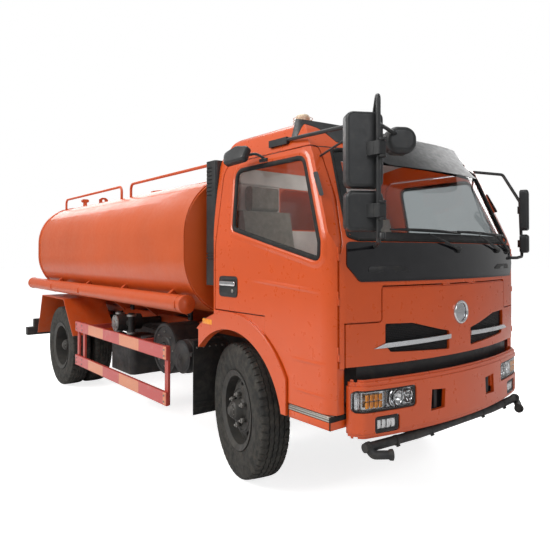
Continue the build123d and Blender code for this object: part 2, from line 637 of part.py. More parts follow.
HINGE_RADIUS = 3.5         # knuckles lie in the seam and turn side by side
HINGE_LENGTH = 40
DOOR_HINGE_Y = DOOR_FRONT_Y - SEAM / 2
DOOR_HINGE_X = 985
DOOR_HINGE_HEIGHTS = (1010, 1330, 1590)
DOOR_SWING_RADIUS = 66
HINGE_TAB = 24
LID_TAB = 18
LID_HINGE_LINE_Y = CAB_FRONT_Y + 8
LID_HINGE_LINE_Z = FRONT_LID_TOP_Z - SEAM / 2


def door_knuckles(side, lower, toward):
    """Half of each door hinge, lower or upper, with a tab toward its own panel along Y."""
    with BuildPart() as knuckles:
        for height in DOOR_HINGE_HEIGHTS:
            start = height if lower else height + HINGE_LENGTH + SEAT_GAP
            with BuildSketch(Plane.XY.offset(start)):
                with Locations((side * DOOR_HINGE_X, DOOR_HINGE_Y)):
                    Circle(HINGE_RADIUS)
                with Locations((side * (DOOR_HINGE_X + HINGE_RADIUS - HINGE_TAB / 2), DOOR_HINGE_Y + toward * SEAM / 2)):
                    Rectangle(HINGE_TAB, SEAM)
            extrude(amount=HINGE_LENGTH)
    return knuckles.part


def lid_knuckles(inner, toward):
    """Half of each front lid hinge, inner or outer, with a tab toward its own panel along Z."""
    with BuildPart() as knuckles:
        for side in SIDES.values():
            start = side * (110 if inner else 110 + HINGE_LENGTH + SEAT_GAP)
            with BuildSketch(Plane.YZ.offset(start)):
                with Locations((LID_HINGE_LINE_Y, LID_HINGE_LINE_Z)):
                    Circle(HINGE_RADIUS)
                with Locations((LID_HINGE_LINE_Y - HINGE_RADIUS, LID_HINGE_LINE_Z + toward * SEAM / 2)):
                    Rectangle(LID_TAB, SEAM, align=(Align.MIN, Align.CENTER))
            extrude(amount=side * HINGE_LENGTH)
    return knuckles.part


def lid_outline(grow):
    """Front lid seen from ahead, grown outward by grow: x is the truck's X and y is Z."""
    wing_x, wing_z = LID_WING_X + grow, LID_WING_Z + grow
    half, top_z = LID_HALF_WIDTH + grow, FRONT_LID_TOP_Z - SEAM + grow
    with BuildSketch() as outline:
        with BuildLine():
            Polyline((-wing_x, SKIRT_Z - 100), (wing_x, SKIRT_Z - 100), (wing_x, wing_z), (half, wing_z), (half, top_z),
                     (-half, top_z), (-half, wing_z), (-wing_x, wing_z), close=True)
        make_face()
        for side in SIDES.values():
            bend_at(outline, side * half, wing_z, 25 - grow)
            bend_at(outline, side * half, top_z, 20 + grow)
    return outline.sketch


# windows and lid are each cut by a prism along one axis
with BuildPart() as windshield_prism:
    with BuildSketch(section_plane(CAB_FRONT_Y - 200)) as pane:
        Polygon(*WINDSHIELD, align=None)
        fillet(pane.vertices(), 60)
    extrude(amount=-620)

with BuildPart() as windshield_glass_prism:
    with BuildSketch(section_plane(CAB_FRONT_Y - 200)) as pane:
        Polygon(*WINDSHIELD, align=None)
        fillet(pane.vertices(), 60)
        offset(amount=-SEAT_GAP)
    extrude(amount=-620)

with BuildPart() as door_walls:
    for side in SIDES.values():
        with BuildSketch(Plane.YZ.offset(side * (DOOR_INNER_X - SEAM))):
            add(door_outline(SEAM))
        extrude(amount=side * 250)
    add(cab_envelope(CAB_WALL), mode=Mode.SUBTRACT)

with BuildPart() as cab_shell:
    add(cab_envelope(0))
    # cabin
    with BuildPart(mode=Mode.PRIVATE) as cabin:
        add(cab_envelope(CAB_WALL))
        # everything under the floor and ahead of the firewall is taken from the cabin
        with BuildSketch(Plane.YZ.offset(-CAB_HALF_WIDTH)):
            with BuildLine():
                Polyline((behind(-1300), 0), (behind(-1300), FRONT_LID_TOP_Z + 30), (FIREWALL_Y, FRONT_LID_TOP_Z + 30),
                         (FIREWALL_Y, FLOOR_Z + CAB_WALL), (behind(-370), FLOOR_Z + CAB_WALL),
                         (behind(-170), REAR_FLOOR_Z + CAB_WALL), (CAB_REAR_Y, REAR_FLOOR_Z + CAB_WALL),
                         (CAB_REAR_Y, 0), close=True)
            make_face()
        extrude(amount=2 * CAB_HALF_WIDTH, mode=Mode.SUBTRACT)
        with BuildSketch(Plane.XY.offset(FLOOR_Z)):
            with Locations((0, (HUMP_FRONT_Y - CAB_WALL + CAB_REAR_Y) / 2)):
                Rectangle(2 * HUMP_HALF_WIDTH, CAB_REAR_Y - HUMP_FRONT_Y + CAB_WALL)
        extrude(amount=HUMP_TOP_Z - FLOOR_Z, mode=Mode.SUBTRACT)
    add(cabin.part, mode=Mode.SUBTRACT)
    # underside: below the floor only the front skin is left
    with BuildPart(mode=Mode.PRIVATE) as underneath:
        add(cab_envelope(SKIRT_SKIN))
        with BuildSketch(Plane.YZ.offset(-CAB_HALF_WIDTH)):
            with BuildLine():
                Polyline((behind(-1300), 0), (behind(-1300), FLOOR_Z), (behind(-370), FLOOR_Z),
                         (behind(-170), REAR_FLOOR_Z), (CAB_REAR_Y, REAR_FLOOR_Z), (CAB_REAR_Y, 0), close=True)
            make_face()
        extrude(amount=2 * CAB_HALF_WIDTH, mode=Mode.INTERSECT)
    add(underneath.part, mode=Mode.SUBTRACT)
    with BuildSketch(Plane.YZ.offset(-CAB_HALF_WIDTH - 50)):
        with Locations((FRONT_AXLE_Y, TYRE_RADIUS)):
            Circle(ARCH_RADIUS)
        with Locations((CAB_REAR_Y - 100, REAR_FLOOR_Z - 200)):
            Rectangle(400, 400)
    extrude(amount=2 * CAB_HALF_WIDTH + 100, mode=Mode.SUBTRACT)
    with BuildSketch(Plane.XY):
        Rectangle(3000, 6000)
    extrude(amount=SKIRT_Z, mode=Mode.SUBTRACT)
    # engine hump from below
    with BuildSketch(Plane.XY.offset(FLOOR_Z - 50)):
        with Locations((0, (HUMP_FRONT_Y + CAB_REAR_Y + 50) / 2)):
            Rectangle(2 * (HUMP_HALF_WIDTH - CAB_WALL), CAB_REAR_Y + 50 - HUMP_FRONT_Y)
    extrude(amount=HUMP_TOP_Z - CAB_WALL - FLOOR_Z + 50, mode=Mode.SUBTRACT)
    # openings
    add(door_walls.part, mode=Mode.SUBTRACT)
    add(windshield_prism.part, mode=Mode.SUBTRACT)
    with BuildSketch(section_plane(CAB_REAR_Y - 60)):
        with Locations((0, REAR_WINDOW_Z)):
            RectangleRounded(*REAR_WINDOW_SIZE, 60)
    extrude(amount=-120, mode=Mode.SUBTRACT)
    # room for the swing of each door's front edge
    for side in SIDES.values():
        with BuildSketch(Plane.XY.offset(DOOR_BOTTOM_Z)):
            with Locations((side * DOOR_HINGE_X, DOOR_HINGE_Y)):
                Circle(DOOR_SWING_RADIUS)
            with Locations((side * DOOR_HINGE_X, DOOR_FRONT_Y - SEAM)):
                Rectangle(4 * DOOR_SWING_RADIUS, 4 * DOOR_SWING_RADIUS, align=(Align.CENTER, Align.MIN),
                          mode=Mode.INTERSECT)
        extrude(amount=BELT_Z - DOOR_BOTTOM_Z, mode=Mode.SUBTRACT)
    # recess under the front lid's skin
    with BuildPart(mode=Mode.PRIVATE) as lid_recess:
        with BuildSketch(section_plane(CAB_FRONT_Y - 50)):
            add(lid_outline(SEAM))
        extrude(amount=-300)
        add(cab_envelope(LID_SKIN + SEAM), mode=Mode.SUBTRACT)
    add(lid_recess.part, mode=Mode.SUBTRACT)
    # compartment behind the front lid
    with BuildSketch(section_plane(CAB_FRONT_Y - 50)):
        with Locations((0, (FRONT_LID_TOP_Z + FRONT_LID_BOTTOM_Z) / 2)):
            Rectangle(2 * LID_HALF_WIDTH, FRONT_LID_TOP_Z - FRONT_LID_BOTTOM_Z)
    extrude(amount=CAB_FRONT_Y - 50 - FIREWALL_Y + CAB_WALL, mode=Mode.SUBTRACT)
    add(lid_knuckles(True, 1))
    for side in SIDES.values():
        add(door_knuckles(side, True, -1))
    # flares over the front wheels
    for side in SIDES.values():
        with BuildSketch(Plane.YZ.offset(side * 985)):
            with Locations((FRONT_AXLE_Y, TYRE_RADIUS)):
                Circle(FLARE_RADIUS)
                Circle(ARCH_RADIUS, mode=Mode.SUBTRACT)
            with Locations((FRONT_AXLE_Y, 100)):
                Rectangle(2000, 1040, mode=Mode.SUBTRACT)
            with Locations((behind(430 + 500), 700)):
                Rectangle(1000, 700, mode=Mode.SUBTRACT)
            with Locations((FLARE_FRONT_Y - 100, 800)):
                Rectangle(200, 1000, mode=Mode.SUBTRACT)
        extrude(amount=side * 60)
    # tilt arms
    for side in SIDES.values():
        with BuildSketch(Plane.YZ.offset(side * ARM_X - 20)):
            with BuildLine():
                Polyline((TILT_Y - 30, TILT_Z - 30), (TILT_Y + 30, TILT_Z - 30), (behind(-700), FLOOR_Z + 20),
                         (behind(-840), FLOOR_Z + 20), (TILT_Y - 30, TILT_Z + 30), close=True)
            make_face()
            with Locations((TILT_Y, TILT_Z)):
                Circle(42)
                Circle(20 + PIN_CLEARANCE, mode=Mode.SUBTRACT)
        extrude(amount=40)
cab_shell.part.label = "cab_shell"
export_step(cab_shell.part, "parts/cab_shell.step")

with BuildPart() as cab_glass:
    add(cab_envelope(8))
    add(cab_envelope(16), mode=Mode.SUBTRACT)
    add(windshield_glass_prism.part, mode=Mode.INTERSECT)
    with BuildSketch(section_plane(CAB_REAR_Y - 20)):
        with Locations((0, REAR_WINDOW_Z)):
            RectangleRounded(REAR_WINDOW_SIZE[0] - 2 * SEAT_GAP, REAR_WINDOW_SIZE[1] - 2 * SEAT_GAP, 60)
    extrude(amount=-6)
cab_glass.part.label = "cab_glass"
export_step(cab_glass.part, "parts/cab_glass.step")

with BuildPart() as left_door:
    with BuildSketch(Plane.YZ.offset(DOOR_INNER_X)):
        add(door_outline(0))
    extrude(amount=250)
    add(cab_envelope(0), mode=Mode.INTERSECT)
    add(cab_envelope(DOOR_THICKNESS), mode=Mode.SUBTRACT)
    with BuildSketch(Plane.YZ.offset(700)):
        add(door_window(0))
    extrude(amount=500, mode=Mode.SUBTRACT)
    add(door_knuckles(1, False, 1))

with BuildPart() as left_door_glass:
    with BuildSketch(Plane.YZ.offset(800)):
        add(door_window(-SEAT_GAP))
    extrude(amount=350)
    add(cab_envelope(16), mode=Mode.INTERSECT)
    add(cab_envelope(21), mode=Mode.SUBTRACT)

# the right door and its glass are mirror images of the left ones
for node_name, left_piece in (("door", left_door.part), ("door_glass", left_door_glass.part)):
    left_piece.label = f"left_{node_name}"
    export_step(left_piece, f"parts/left_{node_name}.step")
    right_piece = mirror(left_piece, about=Plane.YZ)
    right_piece.label = f"right_{node_name}"
    export_step(right_piece, f"parts/right_{node_name}.step")

# ================================================================ cab trim

with BuildPart() as front_lid:
    with BuildSketch(section_plane(CAB_FRONT_Y - 50)):
        add(lid_outline(0))
        with Locations((0, LID_BOTTOM_Z)):
            Rectangle(3000, 1000, align=(Align.CENTER, Align.MIN), mode=Mode.INTERSECT)
    extrude(amount=-300)
    add(cab_envelope(0), mode=Mode.INTERSECT)
    add(cab_envelope(LID_SKIN), mode=Mode.SUBTRACT)
    # rolled top edge, which turns clear of the shell
    with BuildPart(mode=Mode.PRIVATE) as edge:
        with BuildSketch(Plane.XY.offset(FRONT_LID_TOP_Z - SEAM - LID_EDGE)):
            with Locations((0, CAB_FRONT_Y)):
                Rectangle(2 * LID_HALF_WIDTH + 10, 300)
        extrude(amount=LID_EDGE + 5)
        add(cab_envelope(LID_EDGE), mode=Mode.SUBTRACT)
    add(edge.part, mode=Mode.SUBTRACT)
    for side in SIDES.values():
        with BuildSketch(section_plane(CAB_FRONT_Y - 50)) as mouth:
            with BuildLine():
                Polyline((side * 125, 1012), (side * 640, 1040), (side * 680, 1085), (side * 680, 1212),
                         (side * 470, 1205), (side * 230, 1150), (side * 125, 1130), close=True)
            make_face()
            fillet(mouth.vertices(), 12)
        extrude(amount=-300, mode=Mode.SUBTRACT)
    add(lid_knuckles(False, -1))
front_lid.part.label = "front_lid"
export_step(front_lid.part, "parts/front_lid.step")

with BuildPart() as grille:
    add(cab_envelope(18 + SEAT_GAP))
    add(cab_envelope(26), mode=Mode.SUBTRACT)
    with BuildSketch(section_plane(CAB_FRONT_Y - 50)):
        with Locations((-402, 1110), (402, 1110)):
            Rectangle(590, 220)
    extrude(amount=-300, mode=Mode.INTERSECT)
grille.part.label = "grille"
export_step(grille.part, "parts/grille.step")

COWL_THICKNESS = 9
COWL_BOTTOM_Z = 1465
COWL_TOP_Z = 1700
with BuildPart() as cowl_panel:
    add(cab_envelope(-COWL_THICKNESS))
    add(cab_envelope(-SEAT_GAP), mode=Mode.SUBTRACT)
    with BuildSketch(section_plane(CAB_FRONT_Y - 200)) as band:
        with BuildLine():
            Polyline((-860, COWL_BOTTOM_Z), (860, COWL_BOTTOM_Z), (940, 1560), (930, COWL_TOP_Z),
                     (-930, COWL_TOP_Z), (-940, 1560), close=True)
        make_face()
        fillet(band.vertices(), 30)
    extrude(amount=-420, mode=Mode.INTERSECT)
cowl_panel.part.label = "cowl_panel"
export_step(cowl_panel.part, "parts/cowl_panel.step")

VISOR_LOW_Z = 2160
VISOR_HIGH_Z = CAB_TOP_Z - 30
VISOR_LOW_HALF = 985
VISOR_HIGH_HALF = 880
VISOR_REAR_Y = behind(-540)
VISOR_LOW_REACH = 600      # depth of the brow at its lower and at its upper edge
VISOR_HIGH_REACH = 200
VISOR_THICKNESS = 9


def visor_front(x, z):
    """Y of the visor's outer face at a place."""
    rise = (z - VISOR_LOW_Z) / (VISOR_HIGH_Z - VISOR_LOW_Z)
    half = VISOR_LOW_HALF + (VISOR_HIGH_HALF - VISOR_LOW_HALF) * rise
    reach = VISOR_LOW_REACH + (VISOR_HIGH_REACH - VISOR_LOW_REACH) * rise
    return VISOR_REAR_Y - reach * (1 - (x / half) ** 2) ** 0.5


with BuildPart() as sun_visor:
    for z, half, reach in ((VISOR_LOW_Z, VISOR_LOW_HALF, VISOR_LOW_REACH),
                           (VISOR_HIGH_Z, VISOR_HIGH_HALF, VISOR_HIGH_REACH)):
        with BuildSketch(Plane.XY.offset(z)):
            with BuildLine():
                outer = EllipticalCenterArc((0, VISOR_REAR_Y), half, reach, start_angle=180, arc_size=180)
                inner = EllipticalCenterArc((0, VISOR_REAR_Y), half - VISOR_THICKNESS, reach - VISOR_THICKNESS,
                                            start_angle=180, arc_size=180)
                Line(outer @ 0, inner @ 0)
                Line(outer @ 1, inner @ 1)
            make_face()
    loft()
    # its edges from the side
    with BuildSketch(Plane.YZ.offset(-1100)) as edges:
        with BuildLine():
            Polyline((behind(-1200), 2168), (behind(-1010), 2195), (behind(-880), 2330), (behind(-540), 2392),
                     (behind(-540), CAB_TOP_Z - 32), (behind(-800), CAB_TOP_Z - 92), (behind(-870), CAB_TOP_Z - 140),
                     (behind(-1200), CAB_TOP_Z - 140), close=True)
        make_face()
        bend_at(edges, behind(-1010), 2195, 90)
        bend_at(edges, behind(-880), 2330, 90)
        bend_at(edges, behind(-800), CAB_TOP_Z - 92, 90)
    extrude(amount=2200, mode=Mode.INTERSECT)
    # brackets to the roof
    for x in (-780, -400, 0, 400, 780):
        with BuildPart(mode=Mode.PRIVATE) as bracket:
            with BuildSketch(Plane.YZ.offset(x - 5)):
                with BuildLine():
                    Polyline((visor_front(x, 2345) + 5, 2345), (visor_front(x, 2385) + 5, 2385),
                             (behind(-500), 2400), (behind(-500), 2350), close=True)
                make_face()
            extrude(amount=10)
            add(cab_envelope(-SEAT_GAP), mode=Mode.SUBTRACT)
        add(bracket.part)
    add(cab_envelope(-SEAT_GAP), mode=Mode.SUBTRACT)
sun_visor.part.label = "sun_visor"
export_step(sun_visor.part, "parts/sun_visor.step")

SNORKEL_X = -925
SNORKEL_WIDTH = 130
SNORKEL_DEPTH = 145
SNORKEL_BOTTOM_Z = 1390
SNORKEL_TOP_Z = 2350
with BuildPart() as snorkel:
    snorkel_y = CAB_REAR_Y + SEAT_GAP + SNORKEL_DEPTH / 2
    with BuildSketch(Plane.XY.offset(SNORKEL_BOTTOM_Z)):
        with Locations((SNORKEL_X, snorkel_y)):
            RectangleRounded(SNORKEL_WIDTH, SNORKEL_DEPTH, 25)
    extrude(amount=SNORKEL_TOP_Z - SNORKEL_BOTTOM_Z)
    # louvres on its outer and rear faces
    for step in range(8):
        with BuildSketch(Plane.XY.offset(SNORKEL_TOP_Z - 50 - 30 * step)):
            with Locations((SNORKEL_X - SNORKEL_WIDTH / 2, snorkel_y + SNORKEL_DEPTH / 2)):
                Rectangle(16, 190)
                Rectangle(150, 16)
        extrude(amount=-14, mode=Mode.SUBTRACT)
    # bellows between the upper and the lower duct
    for step in range(3):
        with BuildSketch(Plane.XY.offset(1585 + 22 * step)):
            with Locations((SNORKEL_X, snorkel_y)):
                Rectangle(SNORKEL_WIDTH + 60, SNORKEL_DEPTH + 60)
                RectangleRounded(SNORKEL_WIDTH - 16, SNORKEL_DEPTH - 16, 20, mode=Mode.SUBTRACT)
        extrude(amount=10, mode=Mode.SUBTRACT)
snorkel.part.label = "snorkel"
export_step(snorkel.part, "parts/snorkel.step")

with BuildPart() as beacon:
    with BuildSketch(Plane.XY.offset(CAB_TOP_Z - 15 + SEAT_GAP)):
        with Locations((-560, behind(-250))):
            Circle(66)
    extrude(amount=30)
    with BuildSketch(Plane.XY.offset(CAB_TOP_Z + 15 + SEAT_GAP)):
        with Locations((-560, behind(-250))):
            Circle(55)
    extrude(amount=90)
    fillet(beacon.faces().sort_by(Axis.Z)[-1].edges(), 30)
beacon.part.label = "beacon"
export_step(beacon.part, "parts/beacon.step")


def tube(points, radius, bend):
    """Round bar along straight runs with equal bends."""
    with BuildPart() as bar:
        with BuildLine() as route:
            if len(points) > 2:
                FilletPolyline(*points, radius=bend)
            else:
                Line(*points)
        with BuildSketch(Plane(origin=route.line @ 0, z_dir=route.line % 0)):
            Circle(radius)
        sweep(path=route.line)
    return bar.part


def mirror_head(centre, width, height, depth, turn, corner, soften):
    """Housing of a mirror, its rounded face turned about Z."""
    facing = Vector(0, -1, 0).rotate(Axis.Z, turn)
    across = Vector(1, 0, 0).rotate(Axis.Z, turn)
    with BuildPart() as head:
        with BuildSketch(Plane(origin=Vector(*centre) + facing * depth / 2, x_dir=across, z_dir=facing)):
            RectangleRounded(width, height, corner)
        extrude(amount=-depth)
        fillet(head.faces().sort_by(Axis(centre, tuple(facing)))[-1].edges(), soften)
    return head.part


MIRROR_TUBE_RADIUS = 12
CLAMP = 60
LEFT_HEAD_X = 1154
MIRROR_ROD_RADIUS = 10         # the wide-angle mirror's arm
RIGHT_TUBE = (-1140, behind(-FRONT_REACH + CLAMP / 2))       # the long upright of the outrigger
with BuildPart() as mirrors:
    # right side: tall and low mirror behind an outrigger tube, and a wide-angle mirror ahead of the screen
    tube_x, tube_y = RIGHT_TUBE
    for head_z, head_height in ((2152, 385), (1843, 205)):
        add(mirror_head((tube_x - 14, tube_y + 87, head_z), 194, head_height, 72, -31, 36, 20))
        with BuildSketch(Plane.XY.offset(head_z - 34)):
            with Locations((tube_x, tube_y)):
                RectangleRounded(54, CLAMP, 8)
            with Locations((tube_x - 8, tube_y + 40)):
                Rectangle(40, 60)
        extrude(amount=68)
    add(tube([(-925, behind(-450), 2384), (-1055, behind(-1365), 2325), (tube_x, tube_y, 2450),
              (tube_x, tube_y, 1690), (-745, behind(-1105), 1672)], MIRROR_TUBE_RADIUS, 24))
    add(tube([(-905, behind(-800), 2235), (-1100, behind(-1385), 2300)], 7, 5))
    add(mirror_head((-883, behind(-1400), 2234), 170, 145, 84, -31, 66, 30))
    add(tube([(tube_x, tube_y, 2275), (-900, behind(-1400), 2262)], MIRROR_ROD_RADIUS, 5))
    # foot of its arm over the door
    with BuildSketch(Plane.XY.offset(2352)):
        with Locations((-900, behind(-430))):
            Rectangle(96, 190)
    extrude(amount=46)
    # left side
    for head_z, head_height in ((1990, 330), (1715, 150)):
        add(mirror_head((LEFT_HEAD_X, behind(-1068), head_z), 190, head_height, 62, 24, 34, 18))
        with BuildSketch(Plane.XY.offset(head_z - 30)):
            with Locations((1112, behind(-1060))):
                Rectangle(50, 40)
        extrude(amount=60)
    add(tube([(880, behind(-655), 2335), (985, behind(-745), 2325), (1112, behind(-900), 2300),
              (1112, behind(-1048), 2060), (1112, behind(-1064), 1610), (955, behind(-1100), 1600),
              (915, behind(-1045), 1600)],
             MIRROR_TUBE_RADIUS, 30))
    add(cab_envelope(-SEAT_GAP), mode=Mode.SUBTRACT)
    # the lower arms end on the cowl panel
    with BuildPart(mode=Mode.PRIVATE) as panel_space:
        add(cab_envelope(-COWL_THICKNESS - SEAT_GAP))
        with BuildSketch(Plane.XY.offset(COWL_BOTTOM_Z)):
            Rectangle(2 * CAB_HALF_WIDTH, 8000)
        extrude(amount=COWL_TOP_Z - COWL_BOTTOM_Z, mode=Mode.INTERSECT)
    add(panel_space.part, mode=Mode.SUBTRACT)
mirrors.part.label = "mirrors"
export_step(mirrors.part, "parts/mirrors.step")

with BuildPart() as seats:
    for side in SIDES.values():
        with BuildSketch(Plane.YZ.offset(side * 620 - 230)):
            with BuildLine():
                Polyline((behind(-470), REAR_FLOOR_Z + CAB_WALL + SEAT_GAP),
                         (behind(120), REAR_FLOOR_Z + CAB_WALL + SEAT_GAP), (behind(150), 1500),
                         (behind(205), 1960), (behind(100), 1960), (behind(20), 1560), (behind(-470), 1530),
                         close=True)
            make_face()
            with BuildLine():
                Polyline((behind(-480), 1000), (behind(-130), 1000), (behind(-130), 1400), (behind(-480), 1400),
                         close=True)
            make_face(mode=Mode.SUBTRACT)
        extrude(amount=460)
        with BuildSketch(Plane.YZ.offset(side * 620 - 130)):
            with Locations((behind(165), 2060)):
                RectangleRounded(90, 190, 30)
        extrude(amount=260)
        with BuildSketch(Plane.XY.offset(1930)):
            with Locations((side * 620 - 60, behind(150)), (side * 620 + 60, behind(150))):
                Circle(8)
        extrude(amount=60)
seats.part.label = "seats"
export_step(seats.part, "parts/seats.step")

with BuildPart() as dashboard:
    with BuildSketch(Plane.YZ.offset(-880)):
        with BuildLine():
            Polyline((FIREWALL_Y + SEAT_GAP, 1250), (behind(-780), 1250), (behind(-740), 1480),
                     (behind(-800), 1560), (FIREWALL_Y + SEAT_GAP, 1600), close=True)
        make_face()
    extrude(amount=1760)
    column = Vector(0, 0.45, 0.9).normalized()
    wheel_centre = Vector(480, behind(-610), 1640)
    with BuildSketch(Plane(origin=wheel_centre, z_dir=column)):
        Circle(205)
        Circle(180, mode=Mode.SUBTRACT)
        Circle(45)
        with PolarLocations(100, 3):
            Rectangle(200, 24)
    extrude(amount=22)
    with BuildSketch(Plane(origin=wheel_centre, z_dir=column * -1)):
        Circle(30)
    extrude(amount=260)
dashboard.part.label = "dashboard"
export_step(dashboard.part, "parts/dashboard.step")

# ================================================================ bumper and lamps

BUMPER_HALF_WIDTH = 922
BUMPER_FRONT_Y = behind(-1250)
BUMPER_REAR_Y = behind(-1035)
BUMPER_BOTTOM_Z = 560
BUMPER_TOP_Z = 900
BUMPER_WALL = 26
LAMP_Z = 775
LAMP_X = 705
LAMP_SIZE = (424, 130)
LAMP_CORNER = 26
FOG_X = 712
FOG_Z = 635
FOG_SIZE = (176, 100)
FOG_CORNER = 20
TOW_X = 305


def bumper_plan(inset):
    """Outline of the bumper from above, moved in by inset."""
    half = BUMPER_HALF_WIDTH
    y = BUMPER_FRONT_Y
    with BuildSketch() as plan:
        with BuildLine():
            front = ThreePointArc((-half + 55, y + 118), (0, y), (half - 55, y + 118))
            Polyline(front @ 1, (half, y + 185), (half, BUMPER_REAR_Y), (-half, BUMPER_REAR_Y), (-half, y + 185),
                     front @ 0)
        make_face()
        for side in SIDES.values():
            bend_at(plan, side * (half - 55), y + 118, 70)
            bend_at(plan, side * half, y + 185, 60)
        if inset:
            offset(amount=-inset, kind=Kind.INTERSECTION)
    return plan.sketch


def lamp_faces(shrink):
    """Openings of the headlamps and fog lamps, seen from ahead."""
    with BuildSketch() as faces:
        for side in SIDES.values():
            with Locations((side * LAMP_X, LAMP_Z)):
                RectangleRounded(LAMP_SIZE[0] - 2 * shrink, LAMP_SIZE[1] - 2 * shrink, LAMP_CORNER)
            with Locations((side * FOG_X, FOG_Z)):
                RectangleRounded(FOG_SIZE[0] - 2 * shrink, FOG_SIZE[1] - 2 * shrink, FOG_CORNER)
    return faces.sketch


with BuildPart() as bumper:
    # the lower edge and the top lip step inward: lower height, upper height, inset
    for low, high, inset in ((BUMPER_BOTTOM_Z, BUMPER_BOTTOM_Z + 14, 18), (BUMPER_BOTTOM_Z + 14, BUMPER_BOTTOM_Z + 30, 6),
                             (BUMPER_BOTTOM_Z + 30, BUMPER_TOP_Z - 36, 0), (BUMPER_TOP_Z - 36, BUMPER_TOP_Z - 12, 6),
                             (BUMPER_TOP_Z - 12, BUMPER_TOP_Z, 16)):
        with BuildSketch(Plane.XY.offset(low)):
            add(bumper_plan(inset))
        extrude(amount=high - low)
    with BuildSketch(Plane.XY.offset(BUMPER_BOTTOM_Z)):
        add(bumper_plan(BUMPER_WALL))
        with Locations((0, BUMPER_REAR_Y)):
            Rectangle(2 * (BUMPER_HALF_WIDTH - BUMPER_WALL), 4 * BUMPER_WALL)
    extrude(amount=BUMPER_TOP_Z - BUMPER_BOTTOM_Z, mode=Mode.SUBTRACT)
    with BuildSketch(section_plane(BUMPER_FRONT_Y - 20)):
        add(lamp_faces(0))
        for side in SIDES.values():
            with BuildLine():
                Polyline((side * (TOW_X - 62), 664), (side * (TOW_X + 66), 660), (side * (TOW_X + 56), 790),
                         (side * (TOW_X - 70), 780), close=True)
            make_face()
    extrude(amount=-260, mode=Mode.SUBTRACT)
    # stays to the frame
    for side in SIDES.values():
        with BuildSketch(Plane.XY.offset(700)):
            with Locations((side * 385, (RAIL_FRONT_Y - SEAT_GAP + BUMPER_FRONT_Y + 40) / 2)):
                Rectangle(60, RAIL_FRONT_Y - SEAT_GAP - BUMPER_FRONT_Y - 40)
        extrude(amount=120)
bumper.part.label = "bumper"
export_step(bumper.part, "parts/bumper.step")

with BuildPart() as headlamps:
    with BuildSketch(Plane.XY.offset(BUMPER_BOTTOM_Z)):
        add(bumper_plan(8))
        add(bumper_plan(70), mode=Mode.SUBTRACT)
        with Locations((0, BUMPER_REAR_Y)):
            Rectangle(2 * BUMPER_HALF_WIDTH, 100, mode=Mode.SUBTRACT)
    extrude(amount=BUMPER_TOP_Z - BUMPER_BOTTOM_Z)
    with BuildSketch(section_plane(BUMPER_FRONT_Y - 20)):
        add(lamp_faces(SEAT_GAP))
    extrude(amount=-300, mode=Mode.INTERSECT)
headlamps.part.label = "headlamps"
export_step(headlamps.part, "parts/headlamps.step")

with BuildPart() as spray_bar:
    add(tube([(870, behind(-1130), 515), (430, behind(-1170), 515), (-430, behind(-1170), 515),
              (-870, behind(-1130), 515)], 27, 200))
    for side in SIDES.values():
        with BuildSketch(Plane.XY.offset(515)):
            with Locations((side * 385, behind(-1150))):
                Rectangle(30, 20)
        extrude(amount=RAIL_BOTTOM_Z - SEAT_GAP - 515)
spray_bar.part.label = "spray_bar"
export_step(spray_bar.part, "parts/spray_bar.step")

# ================================================================ chassis fittings

with BuildPart() as driveline:
    with BuildSketch(Plane.XY.offset(620)):
        with Locations((0, behind(-100))):
            Rectangle(560, 900)
    extrude(amount=560)
    for side in SIDES.values():
        for mount_y in (-450, 200):
            with BuildSketch(Plane.XY.offset(740)):
                with Locations((side * (260 + RAIL_OUTER_X - RAIL_THICKNESS - SEAT_GAP) / 2, behind(mount_y))):
                    Rectangle(RAIL_OUTER_X - RAIL_THICKNESS - SEAT_GAP - 260, 90)
            extrude(amount=60)
    with BuildSketch(section_plane(behind(350))):
        with Locations((0, 740)):
            Circle(120)
    extrude(amount=-560)
    shaft_start = Vector(0, behind(900), 700)
    shaft_end = Vector(0, REAR_AXLE_Y - DIFF_NOSE - SEAT_GAP - 10, TYRE_RADIUS)
    with BuildSketch(Plane(origin=shaft_start, z_dir=(shaft_end - shaft_start).normalized())):
        Circle(38)
    extrude(amount=(shaft_end - shaft_start).length)
    with BuildSketch(section_plane(REAR_AXLE_Y - DIFF_NOSE - SEAT_GAP - 22)):
        with Locations((0, TYRE_RADIUS)):
            Circle(62)
    extrude(amount=-22)
driveline.part.label = "driveline"
export_step(driveline.part, "parts/driveline.step")

RAIL_TUBE = 14
LADDER_HALF_WIDTH = 190
LADDER_Y = TANK_REAR_Y + 130
with BuildPart() as tank_rails:
    for side in SIDES.values():
        for start, stop in ((600, 2330), (2580, 4500)):
            x = side * 770
            add(tube([(x, behind(start), 2215), (x, behind(start), 2390), (x, behind(stop), 2390),
                      (x, behind(stop), 2215)], RAIL_TUBE, 60))
    # ladder up the rear end
    for x in (-LADDER_HALF_WIDTH, LADDER_HALF_WIDTH):
        add(tube([(x, LADDER_Y, 1010), (x, LADDER_Y, 2400), (x, TANK_REAR_Y - 190, 2400),
                  (x, TANK_REAR_Y - 190, 2250)], RAIL_TUBE, 60))
        for z in (1330, 1980):
            add(tube([(x, LADDER_Y, z), (x, TANK_REAR_Y - 60, z)], RAIL_TUBE, 5))
    for rung in range(5):
        z = 1080 + 280 * rung
        add(tube([(-LADDER_HALF_WIDTH, LADDER_Y, z), (LADDER_HALF_WIDTH, LADDER_Y, z)], 11, 5))
    add(tank_body(SEAT_GAP), mode=Mode.SUBTRACT)
tank_rails.part.label = "tank_rails"
export_step(tank_rails.part, "parts/tank_rails.step")

